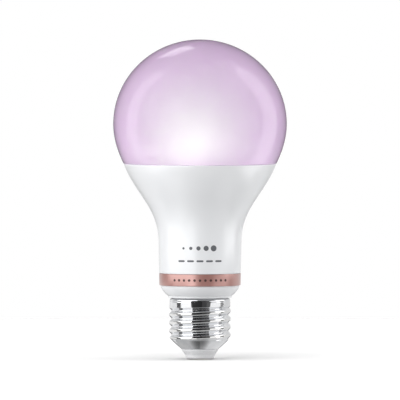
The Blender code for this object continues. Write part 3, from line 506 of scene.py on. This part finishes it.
def inner_finishes():
    """Material for each slot of the pieces inside the lamp."""
    fuse_low, fuse_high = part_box("fuse_resistor")
    middle = (fuse_low.z + fuse_high.z) / 2.0
    step = (fuse_high.z - fuse_low.z) / 6.0
    drawn, etched = (150.0, 150.0, 2600.0), (900.0, 900.0, 900.0)
    paints = [(0.35, 0.16, 0.05), (0.02, 0.02, 0.02), (0.5, 0.4, 0.02), (0.6, 0.6, 0.6)]
    bands = [(middle + step * (i - 1.5), step * 0.22, paint) for i, paint in enumerate(paints)]
    below_top, half = 0.8 * MM, 0.5 * MM
    ring = (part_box("input_capacitor")[1].z - below_top, half, (0.55, 0.56, 0.6))
    return {
        "adhesive": plastic_finish("sealant", (0.88, 0.88, 0.85), 0.45, 0.7, 900.0, 0.05 * MM),
        "aluminium": brushed_finish("spun_aluminium", (0.74, 0.75, 0.76), 0.3, 0.45, drawn),
        "thermal_pad": plastic_finish("pad", (0.42, 0.47, 0.54), 0.6, 0.8, 1400.0, 0.04 * MM),
        "white_mask": mask_finish("white_mask", (0.86, 0.86, 0.84), (0.8, 0.8, 0.76), 210.0),
        "phosphor": glowing_finish("phosphor_filler", (0.93, 0.78, 0.3), (1.0, 0.86, 0.74), 3.0),
        "clear_lens": glowing_finish("colour_lens", (0.85, 0.84, 0.9), (0.86, 0.6, 1.0), 3.0),
        "steel": brushed_finish("zinc_steel", (0.6, 0.6, 0.62), 0.22, 0.36, etched),
        "connector": plastic_finish("nylon", (0.84, 0.82, 0.76), 0.42, 0.56, 1500.0),
        "sleeve_plastic": plastic_finish("sleeve", (0.8, 0.8, 0.77), 0.38, 0.52, 900.0, 0.02 * MM),
        "green_mask": mask_finish("green_mask", (0.012, 0.13, 0.045), (0.03, 0.24, 0.08), 260.0),
        "capacitor_jacket": banded_finish("jacket", (0.05, 0.08, 0.2), [ring]),
        "resistor_body": banded_finish("resistor", (0.42, 0.6, 0.55), bands),
        "ferrite": plastic_finish("ferrite", (0.06, 0.06, 0.065), 0.42, 0.7, 1300.0, 0.04 * MM),
        "copper": wound_finish("enamelled_copper", (0.78, 0.3, 0.12), 0.22, 0.36, 0.32 * MM),
        "film_box": plastic_finish("film_box", (0.62, 0.1, 0.07), 0.25, 0.4, 1500.0),
        "black_plastic": plastic_finish("moulding_compound", (0.025, 0.025, 0.028), 0.4, 0.6, 2400.0),
        "tape": plastic_finish("tape", (0.8, 0.6, 0.08), 0.3, 0.42, 700.0, 0.02 * MM),
        "live_insulation": plastic_finish("red_insulation", (0.55, 0.04, 0.03), 0.35, 0.5, 1200.0),
        "neutral_insulation": plastic_finish("black_insulation", (0.03, 0.03, 0.035), 0.35, 0.5, 1200.0),
    }


FINISHES = inner_finishes()
DIFFUSER = diffuser_finish()
HOUSING = housing_finish()
ROSE = brushed_finish(
    "rose_gold",
    (0.45, 0.20, 0.17),
    0.28,
    0.36,
    (120.0, 120.0, 9000.0),
    metallic=0.4,
    depth=0.002 * MM,
    IOR=1.7,
    Coat_Weight=1.0,
    Coat_IOR=1.8,
    Coat_Roughness=0.28,
)
NICKEL = cap_finish()
INSULATOR = plastic_finish("insulator_glass", (0.88, 0.88, 0.895), 0.22, 0.32, 2000.0, 0.005 * MM)
CONTACT = brushed_finish("contact_tin", (0.7, 0.66, 0.56), 0.2, 0.38, (700.0, 700.0, 700.0))
INK = plastic_finish("grey_ink", (0.115, 0.12, 0.13), 0.5, 0.65, 4000.0, 0.002 * MM)
BAND_INK = plastic_finish("brown_ink", (0.07, 0.035, 0.03), 0.5, 0.65, 4000.0, 0.002 * MM)

for node in NODES.values():
    for index, old in enumerate(node.data.materials):
        if old and old.name in FINISHES:
            node.data.materials[index] = FINISHES[old.name]


# ---------------------------------------------------------------------------------------------
# Outer pieces
# ---------------------------------------------------------------------------------------------


def globe_arc(wall, count):
    """(r, z) from the top of the globe down to just above its widest level."""
    radius, rise = GLOBE_RADIUS - wall, GLOBE_RISE - wall
    angles = [math.pi / 2.0 * (1.0 - i / count) for i in range(count)]
    top = (0.0, EQUATOR_Z + rise)
    return [top] + [(radius * math.cos(a), EQUATOR_Z + rise * math.sin(a)) for a in angles[1:]]


def build_dome():
    """Frosted globe, with a tongue that reaches down inside the housing."""
    edge = 0.3 * MM
    inner_rise = 2.6 * MM  # from the split up to where the thin wall starts
    over, under = 44, 20  # rows of the outer face over and under its widest level
    inner_over, inner_under = 32, 16
    rim_z = SPLIT_Z + SEAM / 2.0
    outer = globe_arc(0.0, over)
    outer += [(outline(z), z) for z in levels(EQUATOR_Z, rim_z + 2.0 * edge, under)]
    tongue_depth = HOUSING_WALL + SEAM
    rim = [
        (outline(rim_z), rim_z, edge),
        (inside(rim_z, tongue_depth), rim_z),
        (inside(TONGUE_BOTTOM_Z, tongue_depth), TONGUE_BOTTOM_Z, edge),
        (inside(TONGUE_BOTTOM_Z, tongue_depth + TONGUE_WALL), TONGUE_BOTTOM_Z, edge),
        (inside(rim_z, tongue_depth + TONGUE_WALL), rim_z),
    ]
    inner_levels = levels(SPLIT_Z + inner_rise, EQUATOR_Z, inner_under)
    inner = [(inside(z, DOME_WALL), z) for z in inner_levels]
    inner += list(reversed(globe_arc(DOME_WALL, inner_over)))
    profile = rounded(outer + rim + inner)
    return piece_from("dome_diffuser", turn(profile), DIFFUSER, "diffuser_dome")


def build_housing():
    """Shoulder, neck with the band's groove, collar, lip and spigot, and the wall behind them."""
    edge, collar_edge, lip_edge, corner = 0.5 * MM, 0.25 * MM, 0.18 * MM, 0.2 * MM
    collar_drop = 0.4 * MM  # straight run at the top of the collar
    outer_rows, inner_rows, collar_rows = 44, 26, 14
    rim_z = SPLIT_Z - SEAM / 2.0
    groove_top = BAND_HIGH.z + SEAM
    groove_low = BAND_LOW.z - SEAM
    groove = BAND_THICKNESS + SEAM
    collar_radius = outline(COLLAR_TOP_Z) - COLLAR_STEP
    lip_z = LIP_Z + LIP_HEIGHT
    pull = (
        LIP_RADIUS + COLLAR_PULL[0] * (collar_radius - LIP_RADIUS),
        lip_z + COLLAR_PULL[1] * (COLLAR_TOP_Z - lip_z),
    )
    collar_start = (collar_radius, COLLAR_TOP_Z - collar_drop)
    outer = [(outline(rim_z), rim_z, edge)]
    outer += [(outline(z), z) for z in levels(rim_z - 2.0 * edge, NECK_TOP_Z, outer_rows)]
    outer += [(outline(groove_top), groove_top, corner)]
    floor = [(outline(groove_top) - groove, groove_top), (outline(groove_low) - groove, groove_low)]
    collar = [(collar_radius, groove_low, collar_edge)]
    collar += curve_through(collar_start, pull, (LIP_RADIUS, lip_z), collar_rows)
    spigot = [
        (LIP_RADIUS, LIP_Z, lip_edge),
        (SPIGOT_RADIUS, LIP_Z),
        (SPIGOT_RADIUS, SPIGOT_LOW_Z, corner),
        (SPIGOT_RADIUS - SPIGOT_WALL, SPIGOT_LOW_Z, corner),
        (SPIGOT_RADIUS - SPIGOT_WALL, HOUSING_FLOOR_Z, corner),
        (HOUSING_FLOOR_RADIUS, HOUSING_FLOOR_Z),
    ]
    wall = [(inside(BAND_LOW.z, HOUSING_WALL), BAND_LOW.z)]
    wall += [(inside(z, HOUSING_WALL), z) for z in levels(NECK_TOP_Z, rim_z, inner_rows)]
    profile = rounded(outer + floor + collar + spigot + wall)
    return piece_from("housing_body", turn(profile), HOUSING, "housing")


def build_band():
    """Metal band in the neck's groove, standing a little proud of it."""
    bevel = 0.18 * MM
    top, bottom = BAND_HIGH.z, BAND_LOW.z
    profile = [
        (outline(top) + BAND_PROUD, top, bevel),
        (outline(bottom) + BAND_PROUD, bottom, bevel),
        (outline(bottom) - BAND_THICKNESS, bottom),
        (outline(top) - BAND_THICKNESS, top),
    ]
    return piece_from("neck_band", turn(rounded(profile)), ROSE, "accent_band")


def shell_radius(angle, z):
    """Outer radius of the threaded shell: curled rim, right-hand thread, then the cone."""
    turns = (z - THREAD_CREST_Z) / THREAD_PITCH - angle / FULL_TURN
    fade = min(max((THREAD_TOP_Z - z) / THREAD_FADE, 0.0), 1.0)
    fade = fade * fade * (3.0 - 2.0 * fade)
    wave = 0.5 * (1.0 - math.cos(FULL_TURN * turns))
    radius = CREST_RADIUS - THREAD_DEPTH * wave**THREAD_ROUNDNESS * fade - RIM_STEP * (1.0 - fade)
    curl = max(z - (SHELL_HIGH.z - RIM_CURL), 0.0)
    radius -= RIM_CURL - math.sqrt(max(RIM_CURL**2 - curl * curl, 0.0))
    across = min(abs(z - RIM_GROOVE_Z) / RIM_GROOVE_HALF, 1.0)
    radius -= RIM_GROOVE_DEPTH * math.cos(math.pi / 2.0 * across) ** 2
    down = min(max((CONE_TOP_Z - z) / (CONE_TOP_Z - CONE_BOTTOM_Z), 0.0), 1.0)
    top_radius = CREST_RADIUS - CONE_STEP
    cone = top_radius + (CONE_BOTTOM_RADIUS - top_radius) * down
    cone += CONE_BULGE * math.sin(math.pi * down)
    blend = min(max((z - CONE_TOP_Z) / THREAD_PITCH, 0.0), 1.0)
    limit = cone + (CONE_STEP + 2.0 * CREST_RADIUS) * blend * blend
    return min(radius, limit)


def shell_inner_radius(angle, z):
    """Radius of the shell's inner face: one wall inside the outer face, measured square to it."""
    step = 0.1 * MM
    above, below = shell_radius(angle, min(z + step, SHELL_HIGH.z)), shell_radius(angle, z - step)
    lean = (above - below) / (2.0 * step)
    return shell_radius(angle, z) - SHELL_WALL * math.hypot(1.0, lean)


def build_shell():
    """The rolled shell: a fine outer skin and a coarser inner skin."""
    row = 0.17 * MM
    count = round((SHELL_HIGH.z - SHELL_LOW.z) / row)
    outer = levels(SHELL_HIGH.z, SHELL_LOW.z, count)
    inner = levels(SHELL_LOW.z, SHELL_HIGH.z, count // 2)
    rows = [(z, shell_radius) for z in outer] + [(z, shell_inner_radius) for z in inner]
    bm = bmesh.new()
    grid = []
    for z, radius_at in rows:
        ring = []
        for i in range(FINE):
            angle = FULL_TURN * i / FINE
            radius = radius_at(angle, z)
            ring.append(bm.verts.new((radius * math.cos(angle), radius * math.sin(angle), z)))
        grid.append(ring)
    for ring, below in zip(grid, grid[1:] + grid[:1]):
        for i in range(FINE):
            j = (i + 1) % FINE
            bm.faces.new((ring[i], below[i], below[j], ring[j]))
    return piece_from("screw_cap_shell", bm, NICKEL, "screw_shell")


def build_insulator():
    """Glassy button under the cone: a flange, a flared side, and a recess for the contact."""
    bottom = INSULATOR_LOW.z
    flange_z = CONE_BOTTOM_Z - SEAM
    flange = CONE_BOTTOM_RADIUS - SEAM / 2.0
    flange_height, flange_edge = 0.3 * MM, 0.12 * MM
    boss, boss_edge = shell_inner_radius(0.0, CONE_BOTTOM_Z) - SEAM, 0.3 * MM
    foot, foot_z = 6.35 * MM, 2.0 * MM
    flare, flare_rise, foot_tuck = 0.45 * MM, 0.5 * MM, 0.2 * MM
    recess, recess_z, recess_edge = CONTACT_HIGH.x + 0.15 * MM, 1.2 * MM, 0.1 * MM
    hole = 1.5 * MM
    rows = 8
    side_top = (flange, flange_z - flange_height)
    side = curve_through(side_top, (foot + flare, foot_z + flare_rise), (foot, foot_z), rows)
    corner_end = ((foot + recess) / 2.0, bottom)
    corner = curve_through((foot, foot_z), (foot - foot_tuck, bottom), corner_end, rows)
    profile = [
        (hole, INSULATOR_HIGH.z),
        (boss, INSULATOR_HIGH.z, boss_edge),
        (boss, flange_z),
        (flange, flange_z, flange_edge),
        *side,
        *corner[1:],
        (recess, bottom, recess_edge),
        (recess, recess_z),
        (hole, recess_z),
    ]
    return piece_from("cap_insulator", turn(rounded(profile)), INSULATOR, "insulator")


def build_contact():
    """Centre contact: a stem, a thin head, and a raised tip in its middle."""
    radius = CONTACT_HIGH.x
    top, bottom = CONTACT_HIGH.z, CONTACT_LOW.z
    stem, head_z, rim_z = 1.2 * MM, 0.9 * MM, 0.45 * MM
    bevel, bevel_z = 0.9 * MM, 0.12 * MM
    tip, tip_z, tip_end = 0.55 * radius, 0.1 * MM, 0.42 * radius
    fine, soft, softer = 0.12 * MM, 0.2 * MM, 0.3 * MM
    profile = [
        (0.0, top),
        (stem, top, soft),
        (stem, head_z),
        (radius, head_z, fine),
        (radius, rim_z, soft),
        (radius - bevel, bevel_z, softer),
        (tip, tip_z, softer),
        (tip_end, bottom, softer),
        (0.0, bottom),
    ]
    solid = turn(rounded(profile), COARSE)
    return piece_from("tip_contact", solid, CONTACT, "centre_contact")


def band_radius(z):
    """Outer radius of the band at height z."""
    return outline(z) + BAND_PROUD


def printed_patch(bm, centre_x, centre_z, half_width, half_height, surface, columns=20):
    """A thin patch of ink with round ends, wrapped round the surface of the given radius."""
    least = 0.01 * MM  # half height left at the very ends
    cap = min(half_width, half_height)
    flat = half_width - cap
    rings = []
    for i in range(columns + 1):
        dx = -half_width * math.cos(math.pi * i / columns)
        over = min(max(abs(dx) - flat, 0.0), cap)
        dz = max(half_height / cap * math.sqrt(cap * cap - over * over), least)
        ring = []
        for side, offset in ((1, INK_THICKNESS), (-1, INK_THICKNESS), (-1, -INK_SUNK), (1, -INK_SUNK)):
            z = centre_z + side * dz
            radius = surface(z)
            turned = (centre_x + dx) / radius
            out = radius + offset
            ring.append(bm.verts.new((out * math.sin(turned), -out * math.cos(turned), z)))
        rings.append(ring)
    for ring, after in zip(rings, rings[1:]):
        for i in range(4):
            j = (i + 1) % 4
            bm.faces.new((ring[i], ring[j], after[j], after[i]))
    bm.faces.new(rings[0])
    bm.faces.new(list(reversed(rings[-1])))


def build_marks():
    """Plain printed marks: dots that grow like a brightness scale, bars, and dots on the band."""
    bm = bmesh.new()
    for i in range(SCALE_DOTS):
        half = SCALE_FIRST + SCALE_GROWTH * i
        printed_patch(bm, (i - SCALE_CENTRE) * SCALE_SPACING, SCALE_Z, half, half, outline)
    for i in range(BARS):
        x = (i - (BARS - 1) / 2.0) * BAR_SPACING
        printed_patch(bm, x, BAR_Z, BAR_HALF_WIDTH, BAR_HALF_HEIGHT, outline)
    piece_from("neck_marks", bm, INK)
    bm = bmesh.new()
    middle = (BAND_LOW.z + BAND_HIGH.z) / 2.0
    for i in range(BAND_DOTS):
        x = (i - (BAND_DOTS - 1) / 2.0) * BAND_DOT_SPACING
        printed_patch(bm, x, middle, BAND_DOT_HALF, BAND_DOT_HALF, band_radius)
    piece_from("band_marks", bm, BAND_INK)


DOME = build_dome()
build_housing()
build_band()
build_shell()
build_insulator()
build_contact()
build_marks()


# ---------------------------------------------------------------------------------------------
# Studio
# ---------------------------------------------------------------------------------------------

FLOOR_RADII = (0.1, 0.2, 0.33, 0.46)
TABLE_BOUNCE = 0.41  # how much of the light the table gives back to the lamp
TABLE_WHITE = 0.62  # and how much of it the camera sees
FRAME_WIDTH = 171.5 * MM
LENS = 1000.0
SENSOR = 36.0
AIM = Vector((0.0, 0.0, 68.3 * MM))
CAMERA_ELEVATION = 1.6
CLIP = (0.01, 50.0)
BOX_DISTANCE = 1.1
BOX_CENTRE_Z = 70.0 * MM

# Who sees a softbox, as a pair: reflections, diffuse surfaces.
ALL_SEE, MATT_SEES, GLOSS_SEES = (True, True), (False, True), (True, False)
# Softboxes: azimuths and elevations in degrees, radiance, and who sees them. The dome and the
# rest of the lamp are lit apart.
BODY_BOXES = {
    "key_left": (-98, -40, -40, 50, 1.75, ALL_SEE),
    "key_left_edge": (-40, -12, -40, 50, 2.1, ALL_SEE),
    "key_right": (70, 112, -40, 50, 2.4, ALL_SEE),
    "rear_left": (-178, -130, -10, 50, 0.6, ALL_SEE),
    "rear_right": (130, 178, -10, 50, 0.7, ALL_SEE),
    "above": (-30, 30, 50, 85, 3.9, MATT_SEES),
}
DOME_BOXES = {
    "strip_left": (-115, -92, -55, 54, 1.4, GLOSS_SEES),
    "strip_right": (92, 123, -55, 57, 1.55, GLOSS_SEES),
    "overhead": (-174, -148, 41, 57, 1.8, ALL_SEE),
    "fill_left": (-110, -50, -30, 40, 0.35, MATT_SEES),
    "fill_front_left": (-50, 0, -30, 20, 1.05, MATT_SEES),
    "fill_right": (60, 120, -40, 40, 0.35, MATT_SEES),
    "fill_high": (-60, 20, 20, 60, 0.4, MATT_SEES),
}

# Cards round the cap: azimuths, radiance, and the (distance, z) path they are drawn along. The
# visor leans over the cap, so that the upward flanks of the thread stay dark too.
WALL_PATH = [(75.0 * MM, -30.0 * MM), (75.0 * MM, 28.0 * MM)]
TALL_PATH = WALL_PATH + [(58.0 * MM, 39.0 * MM)]
VISOR_PATH = [(30.0 * MM, 3.0 * MM), (30.0 * MM, 20.0 * MM), (18.5 * MM, 28.0 * MM)]
CARDS = {
    "far_left": (-150.0, -91.5, 0.94, WALL_PATH),
    "gap_left": (-91.0, -71.5, 0.1, WALL_PATH),
    "white_left": (-71.0, -29.5, 1.2, WALL_PATH),
    "dark_left": (-25.3, 6.0, 0.02, VISOR_PATH),
    "dark_middle": (6.0, 19.0, 0.055, VISOR_PATH),
    "dark_right": (19.0, 30.0, 0.11, VISOR_PATH),
    "white_right": (35.0, 76.5, 1.05, TALL_PATH),
    "gap_right": (77.0, 95.5, 0.31, TALL_PATH),
    "far_right": (96.0, 150.0, 0.75, TALL_PATH),
}

# The room's brightness round the lamp: WALL by azimuth, times HEIGHTS by elevation. Low down,
# BENCH takes over from WALL: not at all at LOW_FROM, and fully at LOW_TO.
WALL = [
    (-180, 0.15), (-150, 0.15), (-125, 1.0), (-25, 1.0), (-2, 0.4),
    (40, 0.4), (62, 1.0), (125, 1.0), (150, 0.15), (180, 0.15),
]
HEIGHTS = [(-90, 0.5), (-82, 0.6), (-66, 2.2), (-22, 2.4), (-9, 1.0), (90, 1.0)]
BENCH = [(-180, 0.55), (-95, 0.6), (-40, 0.8), (40, 0.6), (95, 0.75), (180, 0.9)]
LOW_FROM, LOW_TO = -8.0, -20.0
AMBIENT = 0.4

# Light of the board inside the dome, as soft balls: height, radius, colour. They are green, so
# that the dome's painted lilac turns white where their light is strongest.
BOARD_GLOWS = {
    "board_core": (92.0 * MM, 10.0 * MM, (0.27, 0.38, 0.235)),
    "board_halo": (96.0 * MM, 24.0 * MM, (0.10, 0.55, 0.06)),
}
GLOW_X = -3.0 * MM
GLOW_POWER = 0.1

# The table's own softbox overhead, so that the shadow is darkest close to the foot.
FLOOR_TOP_SIZE, FLOOR_TOP_Z, FLOOR_TOP_RADIANCE = 1.6, 0.9, 1.5


def direction(azimuth, elevation):
    """Unit vector from the lamp: azimuth 0 is towards the camera, positive to the right."""
    a, e = math.radians(azimuth), math.radians(elevation)
    return Vector((math.sin(a) * math.cos(e), -math.cos(a) * math.cos(e), math.sin(e)))


def table_material():
    """Matt table that the camera sees as almost white, with its own mild bounce for the lamp."""
    finish = Finish("white_table")
    finish.nodes.remove(finish.shader)
    plain = finish.node("ShaderNodeBsdfDiffuse", Color=(TABLE_BOUNCE,) * 3 + (1.0,))
    lifted = finish.node("ShaderNodeBsdfDiffuse", Color=(TABLE_WHITE,) * 3 + (1.0,))
    output = finish.nodes["Material Output"]
    finish.shown_to_camera(plain.outputs["BSDF"], lifted.outputs["BSDF"], output)
    return finish.material


def build_floor():
    """Round table top under the lamp."""
    bm = bmesh.new()
    rings = [[bm.verts.new((0.0, 0.0, 0.0))]]
    for radius in FLOOR_RADII:
        ring = []
        for i in range(COARSE):
            angle = FULL_TURN * i / COARSE
            ring.append(bm.verts.new((radius * math.cos(angle), radius * math.sin(angle), 0.0)))
        rings.append(ring)
    for i in range(COARSE):
        j = (i + 1) % COARSE
        bm.faces.new((rings[0][0], rings[1][i], rings[1][j]))
        for inner, outer in zip(rings[1:], rings[2:]):
            bm.faces.new((inner[i], outer[i], outer[j], inner[j]))
    mesh = bpy.data.meshes.new("studio_floor")
    bm.to_mesh(mesh)
    bm.free()
    mesh.materials.append(table_material())
    floor = bpy.data.objects.new("studio_floor", mesh)
    bpy.context.scene.collection.objects.link(floor)
    floor.visible_glossy = False  # reflections see the studio's lower half instead
    return floor


def build_card(name, first, last, radiance, path):
    """A low card round the cap, between two azimuths, that only reflections see."""
    bm = bmesh.new()
    rows = []
    for distance, z in path:
        ends = (direction(azimuth, 0.0) * distance for azimuth in (first, last))
        rows.append([bm.verts.new(end + Vector((0.0, 0.0, z))) for end in ends])
    for (a, b), (c, d) in zip(rows, rows[1:]):
        bm.faces.new((a, b, d, c))
    mesh = bpy.data.meshes.new(name)
    bm.to_mesh(mesh)
    bm.free()
    finish = Finish(
        name,
        Base_Color=(0.01, 0.01, 0.012, 1.0),
        Roughness=1.0,
        Specular_IOR_Level=0.0,
        Emission_Color=(1.0, 1.0, 1.0, 1.0),
        Emission_Strength=radiance,
    )
    mesh.materials.append(finish.material)
    card = bpy.data.objects.new(name, mesh)
    bpy.context.scene.collection.objects.link(card)
    card.visible_camera = False
    card.visible_diffuse = False
    card.visible_transmission = False
    card.visible_shadow = False


def area_light(name, width, height, radiance, seen_by):
    """A lamp with a flat face of the given radiance; radiance 1 is white."""
    light = bpy.data.lights.new(name, "AREA")
    light.shape = "RECTANGLE"
    light.size = width
    light.size_y = height
    light.energy = radiance * math.pi * width * height
    lamp = bpy.data.objects.new(name, light)
    bpy.context.scene.collection.objects.link(lamp)
    lamp.visible_camera = False
    lamp.visible_glossy, lamp.visible_diffuse = seen_by
    return lamp


def build_box(name, first, last, low, high, radiance, seen_by):
    """A softbox between two azimuths and two elevations, facing the lamp."""
    azimuth, elevation = (first + last) / 2.0, (low + high) / 2.0
    spread, rise = math.radians(last - first) / 2.0, math.radians(high - low) / 2.0
    width = 2.0 * BOX_DISTANCE * math.tan(spread) * math.cos(math.radians(elevation))
    height = 2.0 * BOX_DISTANCE * math.tan(rise)
    lamp = area_light(name, width, height, radiance, seen_by)
    away = direction(azimuth, elevation)
    lamp.location = Vector((0.0, 0.0, BOX_CENTRE_Z)) + away * BOX_DISTANCE
    lamp.rotation_euler = (-away).to_track_quat("-Z", "Y").to_euler()
    return lamp


def build_floor_top():
    """Softbox overhead that lights the table alone."""
    lamp = area_light("floor_top", FLOOR_TOP_SIZE, FLOOR_TOP_SIZE, FLOOR_TOP_RADIANCE, MATT_SEES)
    lamp.location = (0.0, 0.0, FLOOR_TOP_Z)
    return lamp


def link_light(lamps, thing, state):
    """Make lamps light only the given thing (INCLUDE) or all but it (EXCLUDE)."""
    group = bpy.data.collections.new(state.lower() + "_" + thing.name)
    group.objects.link(thing)
    group.collection_objects[0].light_linking.link_state = state
    for lamp in lamps:
        lamp.light_linking.receiver_collection = group


def build_board_glow(name, height, radius, colour):
    """Soft ball of light inside the dome."""
    light = bpy.data.lights.new(name, "POINT")
    light.energy = GLOW_POWER
    light.color = colour
    light.shadow_soft_size = radius
    lamp = bpy.data.objects.new(name, light)
    lamp.location = (GLOW_X, 0.0, height)
    bpy.context.scene.collection.objects.link(lamp)


def across_place(azimuth):
    """Place of an azimuth on a ramp that runs once round the room."""
    return azimuth / 360.0 + 0.5


def upward_place(elevation):
    """Place of an elevation on a ramp that runs with z, from straight down to straight up."""
    return math.sin(math.radians(elevation)) * 0.5 + 0.5


def build_world():
    """White to the camera; to the lamp, a room that is light round the sides and dim behind."""
    world = bpy.data.worlds.new("studio")
    bpy.context.scene.world = world
    world.use_nodes = True
    graph = Graph(world.node_tree)
    graph.nodes.clear()
    place = graph.node("ShaderNodeTexCoord").outputs["Generated"]
    x, y, z = graph.node("ShaderNodeSeparateXYZ", Vector=place).outputs
    azimuth = graph.math("ARCTAN2", x, graph.math("MULTIPLY", y, -1.0))
    across = graph.math("MULTIPLY_ADD", azimuth, 1.0 / FULL_TURN, 0.5)
    upward = graph.math("MULTIPLY_ADD", z, 0.5, 0.5)
    wall = graph.ramp(across, [(across_place(a), v) for a, v in WALL])
    bench = graph.ramp(across, [(across_place(a), v) for a, v in BENCH])
    low = graph.ramp(upward, [(upward_place(LOW_TO), 1.0), (upward_place(LOW_FROM), 0.0)])
    heights = graph.ramp(upward, [(upward_place(e), v) for e, v in HEIGHTS])
    room = graph.mix(1.0, graph.mix(low, wall, bench), heights, "MULTIPLY")
    studio = graph.node("ShaderNodeBackground", Color=room, Strength=AMBIENT)
    white = graph.node("ShaderNodeBackground", Color=(1.0, 1.0, 1.0, 1.0))
    output = graph.node("ShaderNodeOutputWorld")
    graph.shown_to_camera(studio.outputs["Background"], white.outputs["Background"], output)


def build_camera():
    """Long lens from far in front, so that the view is almost without perspective."""
    camera = bpy.data.cameras.new("camera")
    camera.lens = LENS
    camera.sensor_width = SENSOR
    camera.clip_start, camera.clip_end = CLIP
    item = bpy.data.objects.new("camera", camera)
    distance = FRAME_WIDTH * LENS / SENSOR
    away = direction(0.0, CAMERA_ELEVATION)
    item.location = AIM + away * distance
    item.rotation_euler = (-away).to_track_quat("-Z", "Y").to_euler()
    bpy.context.scene.collection.objects.link(item)
    bpy.context.scene.camera = item


floor = build_floor()
body_lamps = [build_box(name, *box) for name, box in BODY_BOXES.items()]
dome_lamps = [build_box(name, *box) for name, box in DOME_BOXES.items()]
link_light(dome_lamps, DOME, "INCLUDE")
link_light(body_lamps, DOME, "EXCLUDE")
link_light([build_floor_top()], floor, "INCLUDE")
for name, card in CARDS.items():
    build_card("card_" + name, *card)
for name, glow in BOARD_GLOWS.items():
    build_board_glow(name, *glow)
build_world()
build_camera()
bpy.context.scene.view_settings.view_transform = "Standard"

bpy.context.view_layer.update()
